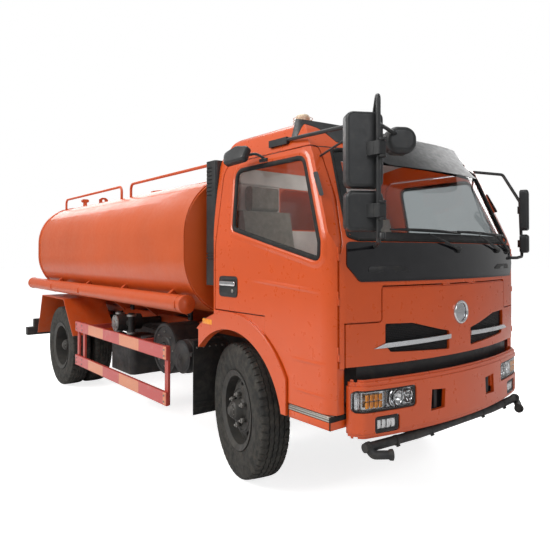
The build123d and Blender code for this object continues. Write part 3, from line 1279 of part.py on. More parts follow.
HOSE_TUBE_RADIUS = 71.5
HOSE_TUBE_X = 1075
HOSE_TUBE_Z = 1230
HOSE_BRACKET_STATIONS = (900, 1900, 2900, 3900)
with BuildPart() as hose_tubes:
    for side in SIDES.values():
        with BuildSketch(section_plane(behind(560))):
            with Locations((side * HOSE_TUBE_X, HOSE_TUBE_Z)):
                Circle(HOSE_TUBE_RADIUS)
        extrude(amount=-4380)
        # the brackets point at the middle of the tank's lower corner
        inward = degrees(atan2(TANK_BOTTOM_Z + TANK_CORNER - HOSE_TUBE_Z,
                               side * (TANK_HALF_WIDTH - TANK_CORNER - HOSE_TUBE_X)))
        for station in HOSE_BRACKET_STATIONS:
            with BuildSketch(section_plane(behind(station))):
                with Locations(Location((side * HOSE_TUBE_X, HOSE_TUBE_Z, 0), (0, 0, inward))):
                    Rectangle(HOSE_TUBE_RADIUS + 60, 70, align=(Align.MIN, Align.CENTER))
                add(tank_section(SEAT_GAP), mode=Mode.SUBTRACT)
            extrude(amount=-40)
hose_tubes.part.label = "hose_tubes"
export_step(hose_tubes.part, "parts/hose_tubes.step")

with BuildPart() as rear_mudguards:
    for side in SIDES.values():
        with BuildSketch(Plane.YZ.offset(side * 620)):
            with BuildLine():
                Polyline((behind(3130), 690), (behind(3480), 1092), (behind(4360), 1092), (behind(4570), 570),
                         (behind(4562), 570), (behind(4354), 1084), (behind(3484), 1084), (behind(3136), 684),
                         close=True)
            make_face()
        extrude(amount=side * 500)
        with BuildSketch(section_plane(behind(3700))):
            with Locations((side * 580, 1068)):
                Rectangle(220, 32)
            with Locations((side * 530, 960)):
                Rectangle(40, 220)
            with Locations((side * (RAIL_OUTER_X + SEAT_GAP + 65), 860)):
                Rectangle(130, 40)
        extrude(amount=-24)
rear_mudguards.part.label = "rear_mudguards"
export_step(rear_mudguards.part, "parts/rear_mudguards.step")

with BuildPart() as side_guards:
    for side in SIDES.values():
        for rail_z in (427, 807):
            with BuildSketch(section_plane(behind(840))):
                with Locations((side * 1095, rail_z)):
                    Rectangle(24, 112)
            extrude(amount=-2240)
        for post in (850, 2830, 3010):
            with BuildSketch(Plane.XY.offset(371)):
                with Locations((side * 1075, behind(post + 30))):
                    Rectangle(20, 60)
            extrude(amount=492)
        for arm in (1500, 2850):
            with BuildSketch(section_plane(behind(arm))):
                with Locations((side * (RAIL_OUTER_X + SEAT_GAP + 330), 807)):
                    Rectangle(660 - 2 * SEAT_GAP, 50)
            extrude(amount=-40)
side_guards.part.label = "side_guards"
export_step(side_guards.part, "parts/side_guards.step")

with BuildPart() as rear_beam:
    with BuildSketch(section_plane(behind(4950))):
        with Locations((0, 545)):
            Rectangle(2300, 110)
    extrude(amount=-100)
    for side in SIDES.values():
        with BuildSketch(section_plane(RAIL_REAR_Y + SEAT_GAP)):
            with Locations((side * 385, 690)):
                Rectangle(60, 380)
        extrude(amount=-60)
    # housings of the tail lamps
    for side in SIDES.values():
        with BuildSketch(Plane.XY.offset(600)):
            with Locations((side * 850, behind(5000))):
                Rectangle(420, 70)
        extrude(amount=112)
rear_beam.part.label = "rear_beam"
export_step(rear_beam.part, "parts/rear_beam.step")

with BuildPart() as steps:
    for side in SIDES.values():
        with BuildSketch(Plane.XY.offset(615)):
            with Locations((side * 890, behind(-830))):
                Rectangle(280, 370)
        extrude(amount=75)
        with BuildSketch(Plane.XY.offset(620)):
            with Locations((side * (RAIL_OUTER_X + SEAT_GAP + 170), behind(-830))):
                Rectangle(340, 50)
        extrude(amount=60)
        with BuildSketch(Plane.XY.offset(330)):
            with Locations((side * 840, behind(604))):
                Rectangle(300, 8)
        extrude(amount=600)
        with BuildSketch(Plane.XY.offset(800)):
            with Locations((side * (RAIL_OUTER_X + SEAT_GAP + 290), behind(630))):
                Rectangle(580, 44)
        extrude(amount=30)
steps.part.label = "steps"
export_step(steps.part, "parts/steps.step")

with BuildPart() as air_units:
    with BuildSketch(Plane.YZ.offset(-960)):
        with Locations((behind(850), 760)):
            Circle(140)
    extrude(amount=400)
    with BuildSketch(Plane.YZ.offset(-900)):
        with Locations((behind(1260), 770)):
            Circle(230)
    extrude(amount=300)
    for y, z in ((850, 760), (1260, 770)):
        with BuildSketch(Plane.YZ.offset(-620)):
            with Locations((behind(y), z)):
                Rectangle(60, 60)
        extrude(amount=200 - SEAT_GAP)
    # filter with its bracket, and the cast valve with its pipes
    with BuildSketch(Plane.XY.offset(690)):
        with Locations((-880, behind(1700))):
            Circle(52)
    extrude(amount=140)
    with BuildSketch(section_plane(behind(1680))):
        with Locations((-RAIL_OUTER_X - SEAT_GAP, 800)):
            Rectangle(470, 50, align=(Align.MAX, Align.CENTER))
    extrude(amount=-40)
    with BuildSketch(Plane.YZ.offset(-930)):
        with Locations((behind(2340), 900)):
            Circle(86)
    extrude(amount=270)
    with BuildSketch(Plane.YZ.offset(-660)):
        with Locations((behind(2340), 900)):
            Circle(40)
    extrude(amount=660 - RAIL_OUTER_X - SEAT_GAP)
    for y in (2190, 2490):
        with BuildSketch(Plane.XY.offset(790)):
            with Locations((-820, behind(y))):
                Circle(34)
        extrude(amount=220)
        with BuildSketch(section_plane(behind(min(y, 2340)))):
            with Locations((-820, 900)):
                Circle(34)
        extrude(amount=-150)
air_units.part.label = "air_units"
export_step(air_units.part, "parts/air_units.step")

with BuildPart() as water_pump:
    with BuildSketch(Plane.XY.offset(420)):
        with Locations((-740, behind(2180))):
            RectangleRounded(400, 560, 60)
    extrude(amount=340)
    with BuildSketch(Plane.XY.offset(600)):
        with Locations((-480, behind(2180))):
            Rectangle(120 - 2 * SEAT_GAP, 120)
    extrude(amount=120)
water_pump.part.label = "water_pump"
export_step(water_pump.part, "parts/water_pump.step")

with BuildPart() as fuel_tank:
    with BuildSketch(section_plane(behind(1000))):
        with Locations((740, 640)):
            RectangleRounded(420, 420, 70)
    extrude(amount=-420)
    with BuildSketch(section_plane(behind(1600))):
        with Locations((740, 640)):
            RectangleRounded(420, 420, 70)
    extrude(amount=-900)
    for y in (1200, 1700, 2400):
        with BuildSketch(section_plane(behind(y))):
            with Locations((480, 700)):
                Rectangle(120 - 2 * SEAT_GAP, 60)
        extrude(amount=-40)
fuel_tank.part.label = "fuel_tank"
export_step(fuel_tank.part, "parts/fuel_tank.step")
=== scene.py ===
import math

import bmesh
import bpy
from mathutils import Matrix, Vector
from mathutils.bvhtree import BVHTree


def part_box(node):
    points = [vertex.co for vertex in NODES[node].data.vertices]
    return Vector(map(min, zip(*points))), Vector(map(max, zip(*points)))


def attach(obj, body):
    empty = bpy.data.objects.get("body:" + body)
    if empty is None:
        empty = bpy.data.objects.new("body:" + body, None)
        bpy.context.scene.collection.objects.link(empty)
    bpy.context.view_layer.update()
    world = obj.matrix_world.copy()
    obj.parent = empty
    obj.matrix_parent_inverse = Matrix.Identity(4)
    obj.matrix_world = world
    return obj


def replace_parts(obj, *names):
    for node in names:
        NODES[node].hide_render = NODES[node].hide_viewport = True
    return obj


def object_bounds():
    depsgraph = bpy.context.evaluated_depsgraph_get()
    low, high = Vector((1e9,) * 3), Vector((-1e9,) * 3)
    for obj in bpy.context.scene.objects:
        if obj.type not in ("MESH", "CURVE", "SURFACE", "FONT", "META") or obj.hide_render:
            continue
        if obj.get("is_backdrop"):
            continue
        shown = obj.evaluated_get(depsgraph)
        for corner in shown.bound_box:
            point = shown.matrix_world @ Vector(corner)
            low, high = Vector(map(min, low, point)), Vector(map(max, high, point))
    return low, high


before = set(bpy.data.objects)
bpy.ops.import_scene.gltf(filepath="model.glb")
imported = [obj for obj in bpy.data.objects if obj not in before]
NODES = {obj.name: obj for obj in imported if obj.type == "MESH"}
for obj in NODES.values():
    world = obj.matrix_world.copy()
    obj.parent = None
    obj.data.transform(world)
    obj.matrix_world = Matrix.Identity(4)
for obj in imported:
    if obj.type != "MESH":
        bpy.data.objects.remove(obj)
cad_low, cad_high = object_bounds()
SCENE = bpy.context.scene

# Metres, in the row frame: the truck faces -Y, +X is its left and +Z is up.

AHEAD, BACKWARD, ACROSS, UP = (Vector(v) for v in ((0, -1, 0), (0, 1, 0), (1, 0, 0), (0, 0, 1)))
SIDES = {"right": -1, "left": 1}

# ---------------------------------------------------------------- places read from the frame


def centre(node):
    """Middle of a CAD node's box."""
    low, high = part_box(node)
    return (Vector(low) + Vector(high)) / 2


FRONT_AXLE_Y = centre("front_axle").y
REAR_AXLE_Y = centre("rear_axle").y
WHEEL_Z = centre("rear_left_rims").z
TYRE_RADIUS = WHEEL_Z


def behind(distance):
    """Y of a place so far behind the front axle; a negative distance is ahead of it."""
    return FRONT_AXLE_Y + distance


# ---------------------------------------------------------------- node materials

M = {}


class Nodes:
    """Short calls for building one material's node tree; the material is kept in M."""

    def __init__(self, name):
        M[name] = material = bpy.data.materials.new(name)
        material.use_nodes = True
        self.tree = material.node_tree
        self.shader = self.tree.nodes["Principled BSDF"]
        self.place = self.tree.nodes.new("ShaderNodeTexCoord").outputs["Object"]

    def fill(self, socket, value):
        """Links another node's output to a socket, or sets the socket's own value."""
        if isinstance(value, bpy.types.NodeSocket):
            self.tree.links.new(value, socket)
        elif isinstance(value, tuple) and len(value) == 3 and socket.type == "RGBA":
            socket.default_value = (*value, 1)
        else:
            socket.default_value = value

    def add(self, kind, **values):
        node = self.tree.nodes.new(kind)
        for key, value in values.items():
            if hasattr(node, key):
                setattr(node, key, value)
            else:
                self.fill(node.inputs[key.replace("_", " ")], value)
        return node

    def set(self, **values):
        for key, value in values.items():
            self.fill(self.shader.inputs[key.replace("_", " ")], value)

    def noise(self, scale, detail=3.0, roughness=0.55, stretch=(1, 1, 1)):
        """Noise in metres: scale is about the number of blotches to a metre."""
        mapping = self.add("ShaderNodeMapping", Vector=self.place, Scale=stretch)
        noise = self.add("ShaderNodeTexNoise", Scale=scale, Detail=detail, Roughness=roughness,
                         Vector=mapping.outputs["Vector"])
        return noise.outputs["Fac"]

    def ramp(self, source, low, high, low_value=0.0, high_value=1.0):
        """Maps source between low and high to the two values, clamped."""
        return self.add("ShaderNodeMapRange", Value=source, From_Min=low, From_Max=high, To_Min=low_value,
                        To_Max=high_value).outputs["Result"]

    def mix(self, fraction, first, second):
        """Colour mix: each colour is an RGB tuple or another node's output."""
        node = self.add("ShaderNodeMix", data_type="RGBA")
        values = {"Factor": fraction, "A": first, "B": second}
        for socket in node.inputs:
            if socket.name in values and socket.enabled:
                self.fill(socket, values[socket.name])
        return next(out for out in node.outputs if out.enabled)

    def multiply(self, first, second):
        node = self.add("ShaderNodeMath", operation="MULTIPLY")
        self.fill(node.inputs[0], first)
        self.fill(node.inputs[1], second)
        return node.outputs[0]

    def blotches(self, noise, colour, shade, low=0.3, high=0.7):
        """The colour, drifting to a darker or lighter one along a noise."""
        return self.mix(self.ramp(noise, low, high), colour, tuple(c * shade for c in colour))

    def soft_edges(self, radius):
        """Normals of edges worn round."""
        return self.add("ShaderNodeBevel", samples=4, Radius=radius).outputs["Normal"]

    def bump(self, source, distance, strength=1.0, under=None):
        node = self.add("ShaderNodeBump", Distance=distance, Strength=strength, Height=source)
        if under is not None:
            self.fill(node.inputs["Normal"], under)
        self.set(Normal=node.outputs["Normal"])
        return node.outputs["Normal"]


DUST = (0.30, 0.25, 0.19)
CHASSIS_DUST = (0.13, 0.11, 0.085)
RUBBER_DUST = (0.17, 0.15, 0.12)


def paint(name, colour, roughness, coat, waviness, edge=0.006, dirt=0.25):
    """Sprayed enamel: slight colour drift, orange peel, wavy sheet, softened edges and road dust low down."""
    n = Nodes(name)
    base = n.blotches(n.noise(1.3, 4), colour, 0.90)
    height = n.add("ShaderNodeSeparateXYZ", Vector=n.place).outputs["Z"]
    dust = n.multiply(n.multiply(n.ramp(height, 1.5, 0.45), n.ramp(n.noise(9, 6, 0.7), 0.42, 0.75)), dirt)
    n.set(Base_Color=n.mix(dust, base, DUST), Coat_Weight=coat, Coat_Roughness=0.08,
          Roughness=n.ramp(n.noise(22, 4), 0.3, 0.75, roughness - 0.04, roughness + 0.07))
    wave = n.bump(n.noise(2.2, 1, 0.4), waviness * 18, 1.0, n.soft_edges(edge))
    n.bump(n.noise(420, 1, 0.4), 0.00025, 0.25, wave)


def plastic(name, colour, roughness, dirt):
    """Moulded plastic with a fine grain and a little dust."""
    n = Nodes(name)
    base = n.mix(n.ramp(n.noise(6, 4), 0.35, 0.7), colour, tuple(c * 1.35 + 0.004 for c in colour))
    dust = n.multiply(n.ramp(n.noise(14, 6, 0.7), 0.5, 0.8), dirt)
    n.set(Base_Color=n.mix(dust, base, DUST),
          Roughness=n.ramp(n.noise(30, 3), 0.3, 0.7, roughness - 0.06, roughness + 0.08))
    n.bump(n.noise(900, 1, 0.5), 0.0002, 0.5, n.soft_edges(0.004))


def gloss_black(name):
    n = Nodes(name)
    smear = n.ramp(n.noise(11, 5, 0.6), 0.4, 0.8)
    n.set(Base_Color=n.mix(smear, (0.006, 0.006, 0.008), (0.014, 0.014, 0.016)), Coat_Weight=0.5,
          Coat_Roughness=0.04, Roughness=n.ramp(n.noise(40, 4), 0.3, 0.8, 0.06, 0.16))
    n.bump(n.noise(3, 2), 0.002, 0.3)


def chassis_paint(name, colour, dirt):
    """Black chassis enamel, dulled by road dust that gathers in blotches."""
    n = Nodes(name)
    base = n.blotches(n.noise(5, 5), colour, 1.8, 0.35)
    dust = n.multiply(n.ramp(n.noise(11, 7, 0.72), 0.45, 0.85), dirt)
    n.set(Base_Color=n.mix(dust, base, CHASSIS_DUST), Specular_IOR_Level=0.4,
          Roughness=n.ramp(n.noise(18, 4), 0.3, 0.7, 0.42, 0.68))
    n.bump(n.noise(160, 3, 0.6), 0.0006, 0.5, n.soft_edges(0.004))


def metal(name, colour, roughness, brushed=(1, 1, 1), metallic=1.0, grain=60):
    n = Nodes(name)
    n.set(Base_Color=n.blotches(n.noise(12, 5, 0.6, brushed), colour, 0.8), Metallic=metallic,
          Roughness=n.ramp(n.noise(grain, 4, 0.6, brushed), 0.3, 0.7, roughness * 0.75, roughness * 1.25))
    n.bump(n.noise(grain * 4, 2, 0.5, brushed), 0.0003, 0.3)


def rubber(name, colour, dirt):
    n = Nodes(name)
    base = n.blotches(n.noise(7, 5), colour, 1.7)
    dust = n.multiply(n.ramp(n.noise(16, 8, 0.75), 0.42, 0.85), dirt)
    n.set(Base_Color=n.mix(dust, base, RUBBER_DUST), Specular_IOR_Level=0.35,
          Roughness=n.ramp(n.noise(26, 5), 0.3, 0.7, 0.62, 0.86))
    n.bump(n.noise(260, 4, 0.6), 0.0008, 0.5)


def glass(name, tint, roughness=0.02):
    n = Nodes(name)
    film = n.ramp(n.noise(5, 5, 0.6), 0.35, 0.8, roughness, roughness + 0.05)
    n.set(Base_Color=tint, Transmission_Weight=1.0, IOR=1.45, Roughness=film)
    n.bump(n.noise(2.5, 1), 0.0008, 0.2)


def cloth(name, colour):
    n = Nodes(name)
    n.set(Base_Color=n.blotches(n.noise(25, 4), colour, 0.7), Roughness=0.92, Sheen_Weight=0.3)
    weave = n.add("ShaderNodeTexWave", Scale=260.0, Distortion=1.0, Vector=n.place)
    n.bump(weave.outputs["Fac"], 0.0005, 0.5)


def reflector_tape(name, colour):
    """Retroreflective tape: tiny cells under a glossy film."""
    n = Nodes(name)
    cells = n.add("ShaderNodeTexVoronoi", Scale=260.0, Vector=n.place).outputs["Distance"]
    base = n.mix(n.ramp(cells, 0.0, 0.6), colour, tuple(min(1, c * 1.25 + 0.02) for c in colour))
    worn = n.multiply(n.ramp(n.noise(9, 6, 0.7), 0.55, 0.8), 0.4)
    n.set(Base_Color=n.mix(worn, base, (0.55, 0.42, 0.36)), Roughness=0.35, Coat_Weight=0.5)
    n.bump(cells, 0.0003, 0.3)


# one row a material: its name, its colour and the rest, as its function takes them
for make, rows in {
    paint: (("cab_paint", (0.70, 0.088, 0.008), 0.30, 0.45, 0.0003, 0.006, 0.03),
            ("tank_paint", (0.60, 0.090, 0.010), 0.40, 0.25, 0.0012),
            ("fitting_paint", (0.60, 0.084, 0.010), 0.45, 0.2, 0.0008),
            ("guard_paint", (0.50, 0.05, 0.035), 0.45, 0.3, 0.0005, 0.003)),
    gloss_black: (("gloss_black",),),
    plastic: (("plastic_black", (0.013, 0.014, 0.015), 0.42, 0.07),
              ("plastic_grey", (0.10, 0.10, 0.105), 0.6, 0.05),
              ("trim_black", (0.010, 0.010, 0.011), 0.45, 0.1),
              ("amber", (0.75, 0.28, 0.03), 0.25, 0.05),
              ("beacon_shell", (0.62, 0.50, 0.36), 0.22, 0.15),
              ("liner", (0.55, 0.54, 0.51), 0.75, 0.05),
              ("filter_white", (0.42, 0.42, 0.38), 0.5, 0.5)),
    rubber: (("seal_rubber", (0.010, 0.010, 0.010), 0.1),
             ("flap_rubber", (0.012, 0.012, 0.012), 0.25),
             ("tyre_rubber", (0.018, 0.018, 0.017), 0.5)),
    chassis_paint: (("chassis", (0.022, 0.022, 0.023), 0.55), ("wheel_paint", (0.035, 0.034, 0.032), 0.45)),
    metal: (("engine", (0.20, 0.20, 0.20), 0.55, (1, 1, 1), 0.7),
            ("cast_alloy", (0.55, 0.55, 0.54), 0.42, (1, 1, 1), 0.9),
            ("chrome", (0.85, 0.85, 0.86), 0.07, (1, 1, 1), 1.0, 20),
            ("silver_trim", (0.72, 0.73, 0.75), 0.25, (0.1, 1, 1)),
            ("step_alloy", (0.62, 0.61, 0.56), 0.38, (1, 0.1, 1)),
            ("nut_steel", (0.36, 0.35, 0.33), 0.45, (1, 1, 1), 0.85)),
    glass: (("clear_glass", (0.93, 0.96, 0.95)), ("screen_glass", (0.84, 0.90, 0.93)),
            ("lens_clear", (0.96, 0.97, 0.97), 0.01), ("lens_red", (0.75, 0.03, 0.02), 0.08)),
    cloth: (("seat_cloth", (0.30, 0.29, 0.25)),),
    reflector_tape: (("tape_red", (0.42, 0.035, 0.030)), ("tape_orange", (0.56, 0.19, 0.085))),
}.items():
    for row in rows:
        make(*row)

NODE_MATERIALS = {
    "cab_paint": ("cab_shell", "front_lid", "right_door", "left_door", "bumper"),
    "tank_paint": ("tank", "manhole_lid"),
    "fitting_paint": ("tank_rails", "hose_tubes", "rear_mudguards", "subframe"),
    "guard_paint": ("side_guards",),
    "gloss_black": ("cowl_panel",),
    "plastic_black": ("mirrors", "snorkel", "sun_visor"),
    "trim_black": ("grille", "dashboard"),
    "chassis": ("frame", "front_axle", "rear_axle", "leaf_springs", "rear_beam", "air_units", "water_pump", "fuel_tank",
                "left_knuckle", "right_knuckle", "spray_bar"),
    "wheel_paint": ("front_right_rim", "front_left_rim", "rear_right_rims", "rear_left_rims"),
    "tyre_rubber": ("front_right_tyre", "front_left_tyre", "rear_right_tyres", "rear_left_tyres"),
    "engine": ("driveline",),
    "clear_glass": ("right_door_glass", "left_door_glass"),
    "screen_glass": ("cab_glass",),
    "lens_clear": ("headlamps",),
    "beacon_shell": ("beacon",),
    "seat_cloth": ("seats",),
    "flap_rubber": ("steps",),
}
for material_name, node_names in NODE_MATERIALS.items():
    for node_name in node_names:
        materials = NODES[node_name].data.materials
        materials.clear()
        materials.append(M[material_name])

# ---------------------------------------------------------------- shapes that a piece is made of


def piece(name, body, slot, material, smooth, *shapes):
    """A piece of the truck that rides on a body, made of (function, arguments) shapes.

    Faces that meet at less than smooth degrees shade smoothly.
    """
    bm = bmesh.new()
    for add, *arguments in shapes:
        add(bm, *arguments)
    bmesh.ops.recalc_face_normals(bm, faces=bm.faces)
    for face in bm.faces:
        face.smooth = True
    for edge in bm.edges:
        edge.smooth = len(edge.link_faces) == 2 and edge.calc_face_angle(0) < math.radians(smooth)
    mesh = bpy.data.meshes.new(name)
    bm.to_mesh(mesh)
    bm.free()
    mesh.materials.append(M[material])
    made = bpy.data.objects.new(name, mesh)
    SCENE.collection.objects.link(made)
    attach(made, body)
    return made


def spread(low, high, count):
    """Evenly spaced values from low to high, in count steps."""
    return [low + (high - low) * k / count for k in range(count + 1)]


def spin(count, start=0.0):
    """Cosine and sine of evenly spaced angles, the first one a share of a step from zero."""
    angles = (2 * math.pi * (k + start) / count for k in range(count))
    return [(math.cos(a), math.sin(a)) for a in angles]


def axes_about(axis):
    """An axis as a unit vector, and two more at right angles to it."""
    axis = Vector(axis).normalized()
    side = axis.orthogonal().normalized()
    return axis, side, axis.cross(side)


def merge_rounded(bm, part, round_by, segments=2):
    """Rounds the sharp edges of one bmesh and adds it to another."""
    if round_by:
        sharp = [e for e in part.edges if len(e.link_faces) == 2 and e.calc_face_angle(0) > math.radians(30)]
        bmesh.ops.bevel(part, geom=sharp, offset=round_by, segments=segments, profile=0.5, affect="EDGES",
                        clamp_overlap=True)
    mesh = bpy.data.meshes.new("merge")
    part.to_mesh(mesh)
    part.free()
    bm.from_mesh(mesh)
    bpy.data.meshes.remove(mesh)


def add_box(bm, middle, size, round_by=0.0):
    part = bmesh.new()
    place = Matrix.Translation(middle) @ Matrix.Diagonal((*size, 1))
    bmesh.ops.create_cube(part, size=1.0, matrix=place)
    merge_rounded(bm, part, round_by)


def add_slab(bm, outline, to_world, span, round_by=0.0, segments=2):
    """An outline of (u, v) points raised to a slab: to_world(u, v, w) places a point, w over the span."""
    part = bmesh.new()
    rings = [[part.verts.new(to_world(u, v, w)) for u, v in outline] for w in span]
    part.faces.new(rings[0])
    part.faces.new(rings[1][::-1])
    for i in range(len(outline)):
        j = (i + 1) % len(outline)
        part.faces.new((rings[0][i], rings[1][i], rings[1][j], rings[0][j]))
    bmesh.ops.recalc_face_normals(part, faces=part.faces)
    merge_rounded(bm, part, round_by, segments)


def add_rows(bm, rows, closed=False, looped=False):
    """Faces between rows of points. Closed rows are rings, and looped ones join the last row to the first."""
    rings = [[bm.verts.new(point) for point in row] for row in rows]
    for first, second in zip(rings, rings[1:] + (rings[:1] if looped else [])):
        for i in range(max(len(first), len(second)) - (0 if closed else 1)):
            j = i + 1
            corners = (first[i % len(first)], first[j % len(first)], second[j % len(second)], second[i % len(second)])
            unique = list(dict.fromkeys(corners))
            if len(unique) > 2:
                bm.faces.new(unique)
    return rings


def add_lathe(bm, profile, origin, axis, steps=32):
    """A profile of (radius, along) points turned about an axis."""
    axis, side, other = axes_about(axis)
    origin = Vector(origin)
    add_rows(bm, [[origin + axis * along + (side * c + other * s) * radius for c, s in spin(steps if radius else 1)]
                  for radius, along in profile], True)


def corner_round(before, corner, after, cut, limit, steps):
    """Points of a curve that leaves both legs of a corner, cut from it but at most a limited share of a leg."""
    into, out = before - corner, after - corner
    cut = min(cut, into.length * limit, out.length * limit)
    start, end = corner + into.normalized() * cut, corner + out.normalized() * cut
    return [start * (1 - t) ** 2 + corner * 2 * t * (1 - t) + end * t ** 2 for t in spread(0, 1, steps)]


def add_tube(bm, points, radius, bend=0.04, sides=14, capped=True):
    """A round bar along a route, whose corners are rounded; the radius may be a list, one for each point."""
    points = [Vector(p) for p in points]
    route = [points[0]]
    for before, corner, after in zip(points, points[1:], points[2:]):
        route += corner_round(before, corner, after, bend, 0.45, 6)
    route.append(points[-1])
    side = axes_about(route[1] - route[0])[1]
    rows = []
    for k, p in enumerate(route):
        direction = (route[min(k + 1, len(route) - 1)] - route[max(k - 1, 0)]).normalized()
        side = (side - direction * side.dot(direction)).normalized()
        other = direction.cross(side)
        size = radius[k] if isinstance(radius, list) else radius
        rows.append([p + (side * c + other * s) * size for c, s in spin(sides)])
    rings = add_rows(bm, rows, True)
    if capped:
        bm.faces.new(rings[0])
        bm.faces.new(rings[-1][::-1])


def add_nut(bm, origin, axis, radius, height, stud=True):
    """A hexagon nut with a chamfered top and the end of its stud."""
    origin = Vector(origin)
    axis, side, other = axes_about(axis)
    add_slab(bm, [(radius * c, radius * s) for c, s in spin(6)],
             lambda u, v, w: origin + side * u + other * v + axis * w, (0.0, height), radius * 0.12)
    if stud:
        add_lathe(bm, [(radius * 0.5, height - 0.001), (radius * 0.5, height * 1.45), (radius * 0.4, height * 1.6),
                       (0, height * 1.6)], origin, axis, 12)


def nut_circle(middle, axis, radius, count, start, *nut):
    """Shapes of nuts on a circle about a level axis, the first one a share of their spacing from its top."""
    other = axis.cross(UP)
    return [(add_nut, middle + (UP * c + other * s) * radius, axis, *nut) for c, s in spin(count, start)]


def rounded(points, steps=5):
    """The line through (u, v, corner radius) points with its corners rounded, as (u, v) pairs."""
    line = []
    for index, (*place, radius) in enumerate(points):
        if not radius:
            line.append(tuple(place))
            continue
        before, corner, after = (Vector(p[:2]) for p in (points[index - 1], place, points[(index + 1) % len(points)]))
        half_turn = (math.pi - (before - corner).angle(after - corner)) / 2
        curve = corner_round(before, corner, after, radius * math.tan(half_turn), 0.49, steps)
        line += [tuple(point) for point in curve]
    return line


def box_outline(u, v, width, height, corner):
    """A rounded rectangle about (u, v)."""
    w, h = width / 2, height / 2
    return rounded(((u - w, v - h, corner), (u + w, v - h, corner), (u + w, v + h, corner), (u - w, v + h, corner)))


def dense(outline, gap=0.03):
    """The closed outline with points added along its long sides, so that it can follow a bent skin."""
    points = []
    for (u0, v0), (u1, v1) in zip(outline, outline[1:] + outline[:1]):
        count = max(1, int(math.hypot(u1 - u0, v1 - v0) / gap))
        points += [(u0 + (u1 - u0) * k / count, v0 + (v1 - v0) * k / count) for k in range(count)]
    return points


def add_ring(bm, outline, to_world, profile):
    """A closed moulding along an outline: profile rows are (outward offset, height above the skin)."""
    outline = dense(outline)
    turn = sum(u0 * v1 - u1 * v0 for (u0, v0), (u1, v1) in zip(outline, outline[1:] + outline[:1]))
    sign = math.copysign(1, turn)
    rows = []
    for out, height in profile:
        rows.append([])
        for k, (u, v) in enumerate(outline):
            along = (Vector(outline[(k + 1) % len(outline)]) - Vector(outline[k - 1])).normalized() * sign * out
            rows[-1].append(to_world(u + along.y, v - along.x, height))
    add_rows(bm, rows, True)


def add_patch(bm, outline, to_world, height, rows=1):
    """A sheet that fills an outline on a bent skin: a fan of rings about its middle."""
    outline = dense(outline)
    mid_u, mid_v = (sum(values) / len(outline) for values in zip(*outline))
    shares = [1 - row / (rows + 1) for row in range(rows + 1)] + [0]
    add_rows(bm, [[to_world(mid_u + (u - mid_u) * share, mid_v + (v - mid_v) * share, height)
                   for u, v in (outline if share else outline[:1])] for share in shares], True)


def add_bead(bm, start, end, to_world, width, height, count=24):
    """A soft pressed bead between two (u, v) points, low at both ends."""
    start, end = Vector(start), Vector(end)
    along = (end - start).normalized() * width / 2
    rows = []
    for k in range(count + 1):
        u, v = start.lerp(end, k / count)
        taper = min(1.0, 3 * k / (count + 1), 3 * (count - k) / (count + 1))
        rows.append([to_world(u - along.y * s, v + along.x * s, 0.0006 + height * taper * rise)
                     for s, rise in ((-1, 0), (-0.5, 0.75), (0, 1), (0.5, 0.75), (1, 0))])
    add_rows(bm, rows)


def weld(bm):
    """Joins points that lie together and closes what is left open."""
    bmesh.ops.remove_doubles(bm, verts=bm.verts, dist=1e-5)
    bmesh.ops.holes_fill(bm, edges=bm.edges)


# ---------------------------------------------------------------- the cab's surfaces

CAB_FRONT = behind(-1.200)
BOW_RADIUS = 3.200
BOW_CENTRE_Y = CAB_FRONT + BOW_RADIUS
CAB_HALF = 1.030
BELT_Z = 1.690
CORNER_RADIUS = 0.130
CORNER_X = CAB_HALF - CORNER_RADIUS
CORNER_Y = BOW_CENTRE_Y - math.sqrt((BOW_RADIUS - CORNER_RADIUS) ** 2 - CORNER_X ** 2)
PROFILE_STEPS = 8
# height, Y of the middle of the front at that height, bend radius
FRONT_PROFILE = rounded(((0.50, CAB_FRONT, 0), (1.50, CAB_FRONT, 0.9), (BELT_Z, behind(-1.185), 0.2),
                         (2.28, behind(-0.925), 0.4), (2.47, behind(-0.760), 0.2), (2.535, behind(-0.520), 0)),
                        PROFILE_STEPS)
# height, X of the cab's side at that height, bend radius
SIDE_PROFILE = rounded(((0.50, CAB_HALF, 0), (BELT_Z, CAB_HALF, 0.6), (2.320, 0.940, 0.3), (2.485, 0.860, 0.11),
                        (2.530, 0.700, 0)), PROFILE_STEPS)
SLOPE_STEP = 0.004


def interpolate(table, key):
    for (k0, v0), (k1, v1) in zip(table, table[1:]):
        if key <= k1:
            return v0 + (v1 - v0) * (key - k0) / (k1 - k0)
    return table[-1][1]


def front_y(x, z):
    """Y of the cab's front skin: the bow, and the round corners where they lie behind it."""
    radius = BOW_CENTRE_Y - interpolate(FRONT_PROFILE, z)
    bow = BOW_CENTRE_Y - math.sqrt(max(0.0, radius ** 2 - x ** 2))
    beyond = min(abs(x) - CORNER_X, CORNER_RADIUS)
    if beyond <= 0:
        return bow
    return max(bow, CORNER_Y - math.sqrt(CORNER_RADIUS ** 2 - beyond ** 2))


def side_x(y, z):
    """Half width of the cab at a station and height."""
    ahead = min(max(CORNER_Y - y, 0.0), CORNER_RADIUS)
    plan = CORNER_X + math.sqrt(CORNER_RADIUS ** 2 - ahead ** 2)
    return min(plan, interpolate(SIDE_PROFILE, z))


def slopes(skin, u, v):
    """How fast a skin's depth changes along u and v."""
    return ((skin(u + SLOPE_STEP, v) - skin(u - SLOPE_STEP, v)) / (2 * SLOPE_STEP),
            (skin(u, v + SLOPE_STEP) - skin(u, v - SLOPE_STEP)) / (2 * SLOPE_STEP))


def front_point(x, z, proud=0.0):
    """A point of the cab's bowed front, raised outward by proud."""
    along_x, along_z = slopes(front_y, x, z)
    return Vector((x, front_y(x, z), z)) + Vector((along_x, -1, along_z)).normalized() * proud


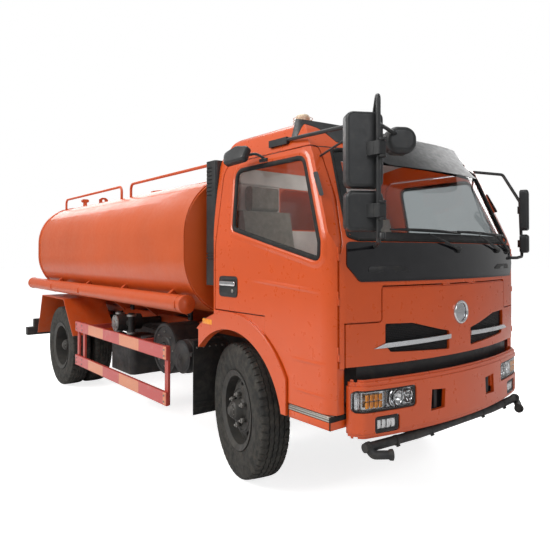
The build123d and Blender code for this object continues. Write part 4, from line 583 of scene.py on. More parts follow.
def on_side(side):
    """Places (y, z, height) on the skin of one side of the cab."""
    def place(y, z, proud):
        along_y, along_z = slopes(side_x, y, z)
        return Vector((side * side_x(y, z), y, z)) + Vector((side, -along_y, -along_z)).normalized() * proud
    return place


# ---------------------------------------------------------------- wheels

TYRE_HALF = 0.1175
PITCHES = 56
TREAD_DEPTH = 0.010
NOTCH_DEPTH = 0.009
GROOVE_WALL = 0.008
# across half the tyre: where, as a share of the half width, and the radius there
SIDEWALL = ((0.70, 0.2545), (0.82, 0.292), (0.862, 0.300), (0.874, 0.3065), (0.94, 0.326), (0.985, 0.352),
            (1.0, 0.392), (0.997, 0.400), (0.985, 0.404), (0.975, 0.425), (0.935, 0.446), (0.905, 0.453),
            (0.895, 0.4615), (0.88, 0.467))
SHOULDER = ((0.86, 0.476), (0.80, 0.482), (0.70, 0.4845))
# zigzag grooves: middle as a share of the half width, half width of the groove, depth of zigzag
GROOVES = ((-0.46, 0.032, 0.035), (-0.15, 0.028, 0.03), (0.15, 0.028, 0.03), (0.46, 0.032, 0.035))
# one pitch round the tyre: share of the pitch, zigzag position, whether the shoulder notch is open
PHASES = ((0.00, -1.0, 0), (0.34, 0.36, 0), (0.38, 0.52, 1), (0.50, 1.0, 1), (0.62, 0.52, 1), (0.66, 0.36, 0))


def tyre_rows():
    """Rows of (across, radius) round one tyre, in metres, each with its angle."""
    for pitch in range(PITCHES):
        for share, zig, notch in PHASES:
            left = [(-a * TYRE_HALF, r) for a, r in SIDEWALL]
            left += [(-a * TYRE_HALF, r - NOTCH_DEPTH * notch) for a, r in SHOULDER]
            crown = []
            for middle, half, swing in GROOVES:
                at = middle + swing * zig
                for u, down in ((at - half - GROOVE_WALL, 0), (at - half, TREAD_DEPTH), (at + half, TREAD_DEPTH),
                                (at + half + GROOVE_WALL, 0)):
                    crown.append((u * TYRE_HALF, TYRE_RADIUS - 0.0025 * (u / 0.7) ** 2 - down))
            yield (pitch + share) / PITCHES * 2 * math.pi, left + crown + [(-u, r) for u, r in reversed(left)]


TYRE_ROWS = list(tyre_rows())


def add_tyre(bm, middle, axis):
    other = axis.cross(UP)
    add_rows(bm, [[middle + axis * across + (UP * math.cos(angle) + other * math.sin(angle)) * radius
                   for across, radius in row] for angle, row in TYRE_ROWS], True, True)


STEER_AT_REST = math.radians(-13)
TWIN_SPACING = 0.270
REAR_TRACK = 0.945
NUT_CIRCLE = 0.111
CAP_NUT_CIRCLE = 0.047
FRONT_FACES = (0.060, 0.135)                        # disc and hub cap, outward from the tyre's middle
REAR_FACES = (-TWIN_SPACING / 2 + 0.011, 0.060)
for name, side in SIDES.items():
    outward = Vector((side, 0, 0))
    steered = Matrix.Rotation(STEER_AT_REST, 3, "Z") @ outward
    outer = Vector((side * REAR_TRACK, REAR_AXLE_Y, WHEEL_Z))
    for end, twin, axle, middles, (face, hub) in (
            ("front", "", steered, [centre(f"front_{name}_tyre")], FRONT_FACES),
            ("rear", "s", outward, [outer, outer - outward * TWIN_SPACING], REAR_FACES)):
        tyre, body, middle = f"{end}_{name}_tyre{twin}", f"{end}_{name}_wheel{twin}", middles[0]
        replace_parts(piece(f"{tyre}_tread", body, "tyre", "tyre_rubber", 35,
                          *((add_tyre, place, axle) for place in middles)), tyre)
        piece(f"{end}_{name}_nuts", body, "wheel_steel", "nut_steel", 40,
              *nut_circle(middle + axle * (face + 0.02), axle, NUT_CIRCLE, 6, 0, 0.0195, 0.022),
              *nut_circle(middle + axle * (hub - 0.004), axle, CAP_NUT_CIRCLE, 8, 0.5, 0.0075, 0.009, False))
        piece(f"{end}_{name}_hub_cap", body, "wheel_steel", "wheel_paint", 40,
              (add_lathe, [(0.050, hub - 0.002), (0.050, hub + 0.006), (0.036, hub + 0.014), (0.030, hub + 0.022),
                           (0, hub + 0.024)], middle, axle, 28),
              (add_lathe, [(0.147, face), (0.150, face + 0.006), (0.158, face + 0.006), (0.162, face)], middle, axle,
               48))

# ---------------------------------------------------------------- front: grille, bars, ring, cowl and wipers

GRILLE_BACK = 0.0262         # how far the grille's back lies behind the front's skin
GRILLE_FRONT = 0.0183
CELL = 0.0125
CELL_PITCH_Z = CELL * 0.866
MOUTH_X, MOUTH_Z = (0.115, 0.675), (1.0, 1.2145)
BAR_NEAR_X, BAR_TIP_X, BAR_HEIGHT = 0.118, 0.765, 0.034


def add_honeycomb(bm, side):
    """Six-sided cells over one opening of the front, and the dark sheet behind them."""
    for row in range(int((MOUTH_Z[1] - MOUTH_Z[0]) / CELL_PITCH_Z) + 1):
        for column in range(int((MOUTH_X[1] - MOUTH_X[0]) / CELL)):
            x = side * (MOUTH_X[0] + CELL / 2 * (row % 2) + column * CELL)
            z = MOUTH_Z[0] + row * CELL_PITCH_Z
            add_rows(bm, [[front_point(x + size * c, z + size * s, -depth) for c, s in spin(6, 0.5)]
                          for size, depth in ((CELL / math.sqrt(3), GRILLE_FRONT),
                                              (CELL / math.sqrt(3) * 0.78, GRILLE_FRONT),
                                              (CELL / math.sqrt(3) * 0.70, GRILLE_BACK - 0.001))], True)
    add_rows(bm, [[front_point(side * x, z, -GRILLE_BACK) for x in spread(*MOUTH_X, 16)] for z in (0.9995, 1.2145)])


def bar_line(side, across, proud=None):
    """A line along the bar across one opening, pointed at its outer end; with no height it is the bar's back."""
    points = []
    for x in spread(BAR_NEAR_X, BAR_TIP_X, 24):
        taper = min(1.0, (BAR_TIP_X - x) / 0.085)
        z = 1.094 - 0.012 * (x - 0.12) / 0.64 - 0.014 * (1 - taper) + across * BAR_HEIGHT * taper
        back = -0.012 if x < 0.66 else 0.001
        points.append(front_point(side * x, z, back if proud is None else 0.002 + proud * (0.35 + 0.65 * taper)))
    return points


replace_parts(piece("grille_mesh", "front_lid", "grille_black", "trim_black", 40, (add_honeycomb, -1),
                  (add_honeycomb, 1)), "grille")
COWL_SLOT = [(0.50, 1.520), (0.80, 1.520), (0.80, 1.545), (0.78, 1.556), (0.56, 1.556), (0.50, 1.535)]
for name, side in SIDES.items():
    piece(f"grille_bar_{name}", "front_lid", "grille_black", "silver_trim", 25,
          (add_rows, [bar_line(side, 0), bar_line(side, -0.5, 0.0), bar_line(side, -0.42, 0.008),
                      bar_line(side, 0.42, 0.010), bar_line(side, 0.5, 0.0), bar_line(side, 0)]), (weld,))
    # sunk slots in the cowl panel, with a raised lip
    piece(f"cowl_slot_{name}", "cab", "gloss_black", "trim_black", 40,
          (add_slab, COWL_SLOT, lambda u, v, w: front_point(side * u, v, w), (0.0092, 0.0122), 0.001))

# plain ring in the middle of the front, with nothing in it
RING_AT = front_point(0, 1.244)
piece("front_ring", "front_lid", "grille_black", "chrome", 50,
      (add_lathe, [(0.078, -0.004), (0.078, 0.009), (0.074, 0.014), (0.066, 0.015), (0.061, 0.011), (0.060, 0.006)],
       RING_AT, AHEAD, 48))
piece("front_ring_field", "front_lid", "grille_black", "silver_trim", 40,
      (add_lathe, [(0.062, 0.003), (0.040, 0.0045), (0, 0.005)], RING_AT, AHEAD, 48))

# black border printed round the windscreen, and its seal
WINDSCREEN = ((0.905, 1.715), (0.815, 2.290))
BORDER_DEPTH = -0.0072
BORDER_Z = (1.716, 2.289)
SEAL_Z = (1.713, 2.292)


def screen_half(z):
    (x0, z0), (x1, z1) = WINDSCREEN
    return x0 + (x1 - x0) * (z - z0) / (z1 - z0)


def border_row(z):
    half = screen_half(z) - 0.004
    return [front_point(x, z, BORDER_DEPTH) for x in spread(-half, half, 40)]


piece("screen_border", "cab", "glass_clear", "trim_black", 40,
      (add_rows, [border_row(1.716), border_row(1.765)]), (add_rows, [border_row(2.215), border_row(2.289)]),
      *((add_rows, [[front_point(side * (screen_half(z) - inset), z, BORDER_DEPTH) for z in spread(*BORDER_Z, 16)]
                    for inset in (0.004, 0.055)]) for side in (-1, 1)))
seal = [(x, SEAL_Z[0]) for x in spread(-0.845, 0.845, 40)]
seal += [(screen_half(z) + 0.002, z) for z in spread(*SEAL_Z, 30)[1:-1]]
seal += [(x, SEAL_Z[1]) for x in spread(0.76, -0.76, 40)]
seal += [(-screen_half(z) - 0.002, z) for z in spread(*SEAL_Z, 30)[-2:0:-1]]
piece("screen_seal", "cab", "gloss_black", "seal_rubber", 60,
      (add_tube, [front_point(x, z, 0.002) for x, z in seal + seal[:1]], 0.011, 0.03, 8, False))

# wipers: pivot, arm, blade and carrier, parked along the foot of the screen
PIVOT_Z = 1.655
ARM_RADII = [0.010, 0.009, 0.009, 0.008, 0.008, 0.007, 0.007, 0.007, 0.006]
for index, (pivot_x, tip_x, tip_z, blade) in enumerate(((-0.02, -0.60, 1.775, 0.66), (0.56, -0.02, 1.775, 0.66),
                                                        (0.80, 0.36, 1.77, 0.5))):
    rest = list(zip(spread(tip_x + blade, tip_x, 14), spread(tip_z - 0.012, tip_z, 14)))
    arm = [front_point(pivot_x, PIVOT_Z, 0.026), front_point(pivot_x * 0.72 + tip_x * 0.28, PIVOT_Z + 0.045, 0.034),
           front_point((pivot_x + tip_x) / 2, (PIVOT_Z + tip_z) / 2 + 0.028, 0.034)]
    carrier = [front_point(x, z, 0.014 + 0.018 * math.sin(math.pi * k / 14)) for k, (x, z) in enumerate(rest)]
    piece(f"wiper_{index + 1}", "cab", "plastic_black", "trim_black", 60,
          (add_lathe, [(0.020, 0), (0.020, 0.012), (0.014, 0.022), (0, 0.024)], front_point(pivot_x, PIVOT_Z, 0.010),
           (0, -1, 0.15), 20),
          (add_tube, arm, ARM_RADII, 0.05, 8),
          (add_tube, [front_point(x, z, 0.012) for x, z in rest], 0.0055, 0.01, 6),
          (add_tube, carrier[1:-1], 0.006, 0.01, 6))

# ---------------------------------------------------------------- doors: seals, handles, creases and trim

BACK_WALL_Y = behind(0.230)      # just ahead of the inner face of the cab's back
WINDOW_TOP_Z = 2.245
WINDOW = rounded(((behind(0.045), WINDOW_TOP_Z, 0.070), (behind(-0.700), WINDOW_TOP_Z, 0.090),
                  (behind(-0.925), 1.700, 0.060), (behind(-0.925), 1.590, 0.040), (behind(0.0), 1.805, 0.050)))
FILM = rounded(((behind(-0.925), 1.975, 0.02), (behind(-0.885), 1.975, 0.02), (behind(-0.800), 2.130, 0.02),
                (behind(-0.845), 2.130, 0.02)))
TRIM = rounded(((behind(-0.93), 0.86, 0.04), (behind(-0.62), 1.20, 0.10), (behind(0.10), 1.20, 0.06),
                (behind(0.10), 1.70, 0.04), (behind(-0.93), 1.535, 0.04)))
HANDLE = (behind(0.032), 1.395)
MARKER = (behind(0.300), 1.118)
FLARE_LOW_Z, FLARE_END_Y = 0.640, behind(0.430)

for name, side in SIDES.items():
    skin = on_side(side)
    door = f"{name}_door"
    # rubber seal round the window, and the pressed rim outside it with the door's mouldings
    piece(f"{name}_window_seal", door, "plastic_black", "seal_rubber", 60,
          (add_ring, WINDOW, skin, ((-0.020, -0.012), (-0.018, 0.001), (-0.010, 0.005), (0.004, 0.005),
                                    (0.010, 0.0008))))
    piece(f"{name}_door_pressings", door, "paint_orange", "cab_paint", 60,
          (add_ring, WINDOW, skin, ((0.012, 0.0004), (0.018, 0.0050), (0.028, 0.0062), (0.040, 0.0040),
                                    (0.056, 0.0004))),
          (add_bead, (behind(-0.25), 1.455), (behind(-0.93), 1.405), skin, 0.030, 0.006),
          (add_bead, (behind(-0.66), 0.985), (behind(-0.99), 0.985), skin, 0.026, 0.005),
          (add_bead, (behind(-0.70), 0.800), (behind(-0.99), 0.800), skin, 0.020, 0.004))
    # handle: recessed black bezel with a bright pull across it, and the key barrel
    piece(f"{name}_handle_bezel", door, "plastic_black", "plastic_black", 50,
          (add_ring, box_outline(*HANDLE, 0.225, 0.142, 0.030), skin,
           ((0.004, 0.0004), (0.003, 0.0055), (-0.004, 0.0070), (-0.012, 0.0050), (-0.022, 0.0012))),
          (add_patch, box_outline(*HANDLE, 0.186, 0.103, 0.020), skin, 0.0012))
    piece(f"{name}_handle_pull", door, "plastic_black", "chrome", 50,
          (add_slab, box_outline(HANDLE[0] - 0.002, HANDLE[1] + 0.022, 0.196, 0.034, 0.014), skin, (0.008, 0.020),
           0.004))
    piece(f"{name}_door_lock", door, "plastic_black", "nut_steel", 50,
          (add_lathe, [(0.013, 0.001), (0.013, 0.006), (0.010, 0.0085), (0, 0.0085)],
           skin(HANDLE[0] - 0.055, HANDLE[1] - 0.030, 0.0), (side, 0, 0), 24))
    # side marker lamp behind the door
    piece(f"{name}_marker_base", "cab", "plastic_black", "trim_black", 50,
          (add_slab, box_outline(*MARKER, 0.150, 0.052, 0.010), skin, (0.0005, 0.0065), 0.002))
    piece(f"{name}_marker_lens", "cab", "lamp_amber", "amber", 50,
          (add_slab, box_outline(*MARKER, 0.136, 0.040, 0.008), skin, (0.006, 0.016), 0.003))
    # dark film on the pillar ahead of the window
    piece(f"{name}_pillar_film", "cab", "plastic_black", "trim_black", 60, (add_patch, FILM, skin, 0.0012))
    # folded lip round the wheel flare, and the black liner edge inside it
    for lip, radius, x, slot_name, finish in (("lip", 0.719, 1.0405, "paint_orange", "cab_paint"),
                                              ("liner", 0.612, 1.020, "plastic_black", "seal_rubber")):
        arc = [Vector((side * x, FRONT_AXLE_Y + math.cos(a) * radius, TYRE_RADIUS + math.sin(a) * radius))
               for a in spread(math.radians(8), math.radians(151), 44)]
        piece(f"{name}_flare_{lip}", "cab", slot_name, finish, 60,
              (add_tube, [p for p in arc if p.z > FLARE_LOW_Z and p.y < FLARE_END_Y], 0.006, 0.02, 8))
    piece(f"{name}_door_trim", door, "dash_grey", "liner", 50, (add_patch, TRIM, skin, -0.0325, 2))
    piece(f"{name}_door_armrest", door, "dash_grey", "plastic_grey", 40,
          (add_box, (side * 0.985, behind(-0.325), 1.371), (0.022, 0.450, 0.042), 0.008))

# lining under the roof and on the back wall
piece("roof_lining", "cab", "dash_grey", "liner", 60,
      (add_rows, [[Vector((x, behind(y), 2.478 - 0.05 * (abs(x) / 0.80) ** 4 - fall)) for x in spread(-0.80, 0.80, 24)]
                  for y, fall in ((-0.66, 0.045), (-0.45, 0.0), (-0.05, 0.0), (0.14, 0.03))]))
piece("back_lining", "cab", "dash_grey", "liner", 40,
      *((add_box, (x, BACK_WALL_Y - 0.002, z), (width, 0.004, height))
        for x, z, width, height in ((0, 1.4875, 1.86, 0.675), (-0.665, 2.0025, 0.53, 0.355),
                                    (0.665, 2.0025, 0.53, 0.355), (0, 2.2375, 1.60, 0.125))))

# ---------------------------------------------------------------- mirrors and beacon

# kerb mirror over the right door: a wing-shaped shell on a bracket, looking down
KERB = Vector((-1.050, behind(-0.150), 2.285))
KERB_SHELL = rounded(((-0.150, -0.060, 0.03), (0.080, -0.070, 0.03), (0.150, 0.030, 0.04), (0.020, 0.075, 0.04),
                      (-0.130, 0.050, 0.03)))
KERB_LEAN = Matrix.Rotation(math.radians(28), 3, "Y")
piece("kerb_mirror", "right_door", "plastic_black", "plastic_black", 50,
      (add_slab, KERB_SHELL, lambda u, v, w: KERB + KERB_LEAN @ Vector((-w, u, v)), (0.02, 0.075), 0.016, 3),
      (add_tube, [(-0.955, behind(-0.286), 2.290), (-0.990, behind(-0.240), 2.325), (-1.060, behind(-0.180), 2.300)],
       0.010, 0.03, 10))
piece("kerb_mirror_foot", "right_door", "plastic_black", "plastic_black", 50,
      (add_box, (-0.954, behind(-0.290), 2.274), (0.028, 0.080, 0.024), 0.004))

# glass and rim of each mirror: place, size, turn and the depth of its shell
for index, (*place, width, height, turn, depth) in enumerate((
        (-1.154, behind(-1.383), 2.152, 0.166, 0.352, -31, 0.036),
        (-1.154, behind(-1.383), 1.843, 0.166, 0.172, -31, 0.036),
        (1.154, behind(-1.068), 1.990, 0.162, 0.298, 24, 0.031),
        (1.154, behind(-1.068), 1.715, 0.162, 0.120, 24, 0.031))):
    facing = Matrix.Rotation(math.radians(turn), 3, "Z") @ BACKWARD

    def on_mirror(u, v, w):
        return Vector(place) + facing.cross(UP) * u + UP * v + facing * (depth + w)

    piece(f"mirror_glass_{index + 1}", "cab", "gloss_black", "chrome", 30,
          (add_slab, box_outline(0, 0, width, height, 0.026), on_mirror, (0.0006, 0.0021)))
    piece(f"mirror_rim_{index + 1}", "cab", "plastic_black", "plastic_black", 50,
          (add_ring, box_outline(0, 0, width + 0.008, height + 0.008, 0.028), on_mirror,
           ((-0.006, 0.0005), (-0.004, 0.005), (0.002, 0.006), (0.006, 0.0005))))

TUBE_X, TUBE_Y = -1.140, behind(-1.494)
piece("mirror_clamps", "cab", "plastic_black", "plastic_black", 50,
      *((add_lathe, [(0.012, -0.007), (0.019, -0.006), (0.019, 0.006), (0.012, 0.007)], (TUBE_X, TUBE_Y, z), UP, 20)
        for z in (2.1102, 2.1938, 1.8012, 1.8848)),
      (add_lathe, [(0.012, 0.0), (0.017, 0.002), (0.017, 0.030), (0.013, 0.034)], (TUBE_X, TUBE_Y, 1.700), UP, 20))

beacon_low, beacon_high = (Vector(v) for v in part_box("beacon"))
beacon_at, beacon_height = centre("beacon"), beacon_high.z - beacon_low.z
piece("beacon_base", "cab", "lamp_amber", "silver_trim", 40,
      (add_lathe, [(0.098, 0.0), (0.102, 0.004), (0.102, 0.012), (0.092, 0.016)],
       (beacon_at.x, beacon_at.y, beacon_low.z + 0.002), UP, 40))
piece("beacon_ribs", "cab", "lamp_amber", "beacon_shell", 40,
      *((add_lathe, [(0.070, -0.002), (0.0745, 0.0), (0.070, 0.002)],
         (beacon_at.x, beacon_at.y, beacon_low.z + beacon_height * share), UP, 40) for share in (0.42, 0.58, 0.74)))

# ---------------------------------------------------------------- bumper: lamp insides, fog lamps and gap

LAMP_X, LAMP_Z, LAMP_WIDTH, LAMP_HEIGHT = 0.705, 0.775, 0.424, 0.130
FOG_X, FOG_Z, FOG_WIDTH, FOG_HEIGHT = 0.712, 0.635, 0.176, 0.100
LENS_EDGE = 0.004
LAMP_NEAR = LAMP_X - LAMP_WIDTH / 2 + LENS_EDGE
CASE_HALF = LAMP_WIDTH / 2 * 0.94
LAMP_SOLIDS = BVHTree.FromObject(NODES["headlamps"], bpy.context.evaluated_depsgraph_get())


def lamp_y(x, z=LAMP_Z):
    """Y of the lamps' front face, found by looking at their solids from ahead."""
    for reach in (0.0, 0.008, 0.016, 0.03, 0.05):
        inward = math.copysign(max(abs(x) - reach, LAMP_NEAR), x)
        hit = LAMP_SOLIDS.ray_cast(Vector((inward, behind(-2.0), z)), BACKWARD)[0]
        if hit is not None:
            return hit.y + reach * 0.4
    return behind(-1.19)


def on_lens(z):
    """Places (u, v, w) on the front face of the lamp at a height, w ahead of it."""
    return lambda u, v, w: Vector((u, lamp_y(u, z) - w, v))


def upright(y, facing):
    """Places (u, v, w) on an upright plane, w to the side that it faces: -1 ahead or 1 behind."""
    return lambda u, v, w: Vector((u, y + facing * w, v))


def bowl_shapes(x, radius, depth=0.024):
    """Reflector bowl that opens forward, with its rim and the bulb's hood."""
    place = (x, lamp_y(x) + 0.008, LAMP_Z + 0.002)
    curve = [(radius * t, depth * (1 - t * t)) for t in (1, 0.9, 0.75, 0.55, 0.35, 0.15)]
    return [(add_lathe, curve + [(0, depth)], place, BACKWARD, 28),
            (add_lathe, [(radius, 0.0), (radius + 0.004, -0.002), (radius + 0.008, 0.001)], place, BACKWARD, 32),
            (add_lathe, [(0, -0.001), (0.011, 0.0), (0.011, 0.016)], place, BACKWARD, 16)]


for name, side in SIDES.items():
    # bright case behind the clear lens, with a main bowl and a small one inboard of it
    piece(f"lamp_case_{name}", "chassis", "lamp_clear", "silver_trim", 40,
          (add_rows, [[Vector((side * x, lamp_y(side * x) + 0.030, z))
                       for x in spread(LAMP_X - CASE_HALF, LAMP_X + CASE_HALF, 12)]
                      for z in spread(LAMP_Z - 0.058, LAMP_Z + 0.058, 2)]))
    piece(f"lamp_bowls_{name}", "chassis", "lamp_clear", "chrome", 50,
          *bowl_shapes(side * 0.640, 0.050), *bowl_shapes(side * 0.548, 0.034))
    # amber cells of the turn lamp, and the bright dividers
    piece(f"lamp_turn_{name}", "chassis", "lamp_amber", "amber", 40,
          *((add_slab, box_outline(side * x, z, 0.027, 0.038, 0.004), upright(lamp_y(side * x), -1),
             (-0.010, -0.002), 0.003) for x in spread(0.752, 0.842, 3) for z in (LAMP_Z - 0.022, LAMP_Z + 0.020)))
    piece(f"lamp_dividers_{name}", "chassis", "lamp_clear", "silver_trim", 40,
          *((add_box, (side * x, lamp_y(side * x) + 0.014, LAMP_Z), (0.007, 0.020, 0.104), 0.0015)
            for x in (0.590, 0.712, 0.876)))
    # black gasket round the lens, and the fog lamp's bezel with its cells
    piece(f"lamp_gasket_{name}", "chassis", "gloss_black", "trim_black", 50,
          (add_ring, box_outline(side * LAMP_X, LAMP_Z, LAMP_WIDTH - 0.008, LAMP_HEIGHT - 0.008, 0.024),
           on_lens(LAMP_Z), ((-0.008, -0.003), (-0.006, 0.0015), (0.001, 0.0015), (0.002, -0.004))))
    piece(f"fog_bezel_{name}", "chassis", "gloss_black", "trim_black", 50,
          (add_ring, box_outline(side * FOG_X, FOG_Z, FOG_WIDTH - 0.010, FOG_HEIGHT - 0.010, 0.018),
           on_lens(FOG_Z), ((-0.020, -0.006), (-0.016, 0.002), (-0.002, 0.003), (0.003, -0.006))))
    piece(f"fog_cells_{name}", "chassis", "lamp_clear", "chrome", 40,
          *((add_slab, box_outline(side * x, FOG_Z, 0.028, 0.060, 0.005), on_lens(FOG_Z), (-0.012, -0.006), 0.002)
            for x in spread(FOG_X - 0.051, FOG_X + 0.051, 3)))
    # black trays behind the openings of the tow pins
    tray = ((0.210, -1.222), (0.216, -1.170), (0.396, -1.170), (0.402, -1.218))
    piece(f"tow_tray_{name}", "chassis", "plastic_black", "trim_black", 40,
          (add_rows, [[Vector((side * x, behind(y), z)) for x, y in tray] for z in (0.640, 0.810)]),
          (add_box, (side * 0.305, behind(-1.1935), 0.725), (0.032, 0.043, 0.150), 0.004))

# black lining that closes the gap over the bumper, behind its lip
piece("bumper_gap", "chassis", "plastic_black", "trim_black", 40,
      (add_rows, [[front_point(x, z, -0.034) for x in spread(-0.86, 0.86, 30)] for z in (0.870, 0.965)]))
# black cover over the header, between the screen and the visor
HEADER_Z = 2.296
piece("header_cover", "cab", "gloss_black", "gloss_black", 60,
      (add_rows, [[front_point(x * (1 - 0.30 * (z - HEADER_Z)), z, 0.006) for x in spread(-0.90, 0.90, 30)]
                  for z in spread(HEADER_Z, HEADER_Z + 0.154, 7)]))

# ---------------------------------------------------------------- spray bar, steps and side guards

BAR_Z = 0.515
STEP_MIDDLE_Y, STEP_LENGTH, STEP_X = behind(-0.830), 0.356, 1.033
TAPE_BREAKS = (0.850, 0.900, 1.380, 1.820, 2.240, 2.660, 3.075)
RAILS_Z = (0.427, 0.807)
for name, side in SIDES.items():
    # nozzles and clamps of the spray bar, and the flared elbow at its end, turned down and outward
    end = Vector((side * 0.840, behind(-1.133), BAR_Z))
    turned = [end, end + Vector((-side * 0.004, -0.030, -0.036)), end + Vector((-side * 0.085, -0.078, -0.040))]
    nozzles = [(side * 0.62, behind(-1.155), BAR_Z), (side * 0.30, behind(-1.170), BAR_Z)]
    piece(f"spray_nozzles_{name}", "chassis", "chassis_black", "chassis", 50,
          *((add_lathe, [(0.010, 0.0), (0.010, 0.030), (0.013, 0.031), (0.013, 0.038), (0, 0.040)], place,
             (0, -0.55, -0.83), 16) for place in nozzles),
          *((add_lathe, [(0.027, -0.012), (0.030, -0.011), (0.030, 0.011), (0.027, 0.012)], place, ACROSS, 24)
            for place in nozzles),
          (add_tube, turned, 0.025, 0.03, 20),
          (add_lathe, [(0.024, 0.0), (0.031, 0.006), (0.033, 0.024), (0.027, 0.026), (0.020, 0.010), (0, 0.010)],
           turned[-1], turned[-1] - turned[-2], 24),
          (add_lathe, [(0.027, -0.014), (0.032, -0.013), (0.032, 0.013), (0.027, 0.014)], end, (1, 0.1, 0), 24))
    # ribbed alloy nosing on the step's tread and edge, and the painted sill under it
    piece(f"step_nosing_{name}", "chassis", "step_alloy", "step_alloy", 40,
          *((add_box, (side * (STEP_X - 0.010 - 0.026 * k), STEP_MIDDLE_Y, 0.69275), (0.017, STEP_LENGTH, 0.0065),
             0.0015) for k in range(9)),
          *((add_box, (side * STEP_X, STEP_MIDDLE_Y, z), (0.006, STEP_LENGTH, 0.009), 0.0015) for z in (0.684, 0.671)))
    piece(f"step_sill_{name}", "chassis", "paint_orange", "cab_paint", 40,
          (add_box, (side * 1.0315, STEP_MIDDLE_Y, 0.639), (0.003, STEP_LENGTH, 0.046), 0.001),
          (add_box, (side * 0.890, behind(-1.0165), 0.639), (0.278, 0.002, 0.046), 0.0008))
    # reflective tape on the side guards, and the bolts that hold their rails to their posts
    for first, finish in enumerate(("tape_orange", "tape_red")):
        piece(f"{finish}_{name}", "chassis", "guard_paint", finish, 40,
              *((add_box, (side * 1.1074, behind((start + stop) / 2), z), (0.0014, stop - start, 0.104))
                for z in RAILS_Z for start, stop in list(zip(TAPE_BREAKS, TAPE_BREAKS[1:]))[first::2]))
    piece(f"guard_bolts_{name}", "chassis", "guard_paint", "nut_steel", 40,
          *((add_nut, (side * 1.1085, behind(post), z + offset), (side, 0, 0), 0.009, 0.006, False)
            for post in (0.880, 2.860, 3.040) for z in RAILS_Z for offset in (-0.025, 0.025)))

# ---------------------------------------------------------------- chassis side: tanks, straps, pipes and flaps

RIGHTWARD = Vector((-1, 0, 0))
# hub, rim and bolts of the reel on the round unit
REEL = Vector((-0.900, behind(1.260), 0.770))
piece("reel_face", "chassis", "chassis_black", "chassis", 40,
      (add_lathe, [(0.226, -0.001), (0.226, -0.010), (0.200, -0.012), (0.196, -0.004), (0.110, -0.004), (0.100, -0.014),
                   (0.060, -0.014), (0.054, -0.002)], REEL, ACROSS, 56),
      (add_lathe, [(0.050, -0.001), (0.050, -0.020), (0.040, -0.026), (0.016, -0.026), (0.014, -0.020), (0, -0.020)],
       REEL, ACROSS, 32))
piece("reel_nuts", "chassis", "chassis_black", "nut_steel", 40,
      *nut_circle(REEL + RIGHTWARD * 0.004, RIGHTWARD, 0.155, 8, 0, 0.010, 0.008))
# the air tank's end straps and its dished end
AIR_TANK_Y, AIR_TANK_Z = behind(0.850), 0.760
piece("air_tank_bands", "chassis", "chassis_black", "chassis", 50,
      *((add_lathe, [(0.140, -0.015), (0.144, -0.014), (0.144, 0.014), (0.140, 0.015)], (x, AIR_TANK_Y, AIR_TANK_Z),
         ACROSS, 40) for x in (-0.900, -0.640)),
      (add_lathe, [(0.120, -0.001), (0.110, -0.008), (0.030, -0.012), (0.022, -0.022), (0, -0.022)],
       (-0.960, AIR_TANK_Y, AIR_TANK_Z), ACROSS, 40))
# pale filter cup under the black head
piece("filter_cup", "chassis", "tank_black", "filter_white", 50,
      (add_lathe, [(0, -0.006), (0.030, -0.005), (0.046, 0.004), (0.0535, 0.010), (0.0535, 0.092), (0.056, 0.094),
                   (0.056, 0.106), (0.0535, 0.108)], (-0.880, behind(1.700), 0.690), UP, 40))
# cast valve: cover with its nuts, and the flanges of its pipes
VALVE = Vector((-0.930, behind(2.340), 0.900))
piece("valve_cover", "chassis", "chassis_black", "cast_alloy", 40,
      (add_lathe, [(0.084, -0.001), (0.084, -0.010), (0.060, -0.014), (0.030, -0.014), (0.026, -0.030), (0.016, -0.034),
                   (0, -0.034)], VALVE, ACROSS, 40))
piece("valve_nuts", "chassis", "chassis_black", "nut_steel", 40,
      *nut_circle(VALVE + RIGHTWARD * 0.008, RIGHTWARD, 0.071, 6, 0, 0.009, 0.008))
piece("valve_flanges", "chassis", "chassis_black", "cast_alloy", 50,
      *((add_lathe, [(0.034, -0.010), (0.050, -0.009), (0.050, 0.009), (0.034, 0.010)], (-0.820, behind(y), z), UP, 32)
        for y in (2.190, 2.490) for z in (0.800, 0.985)))

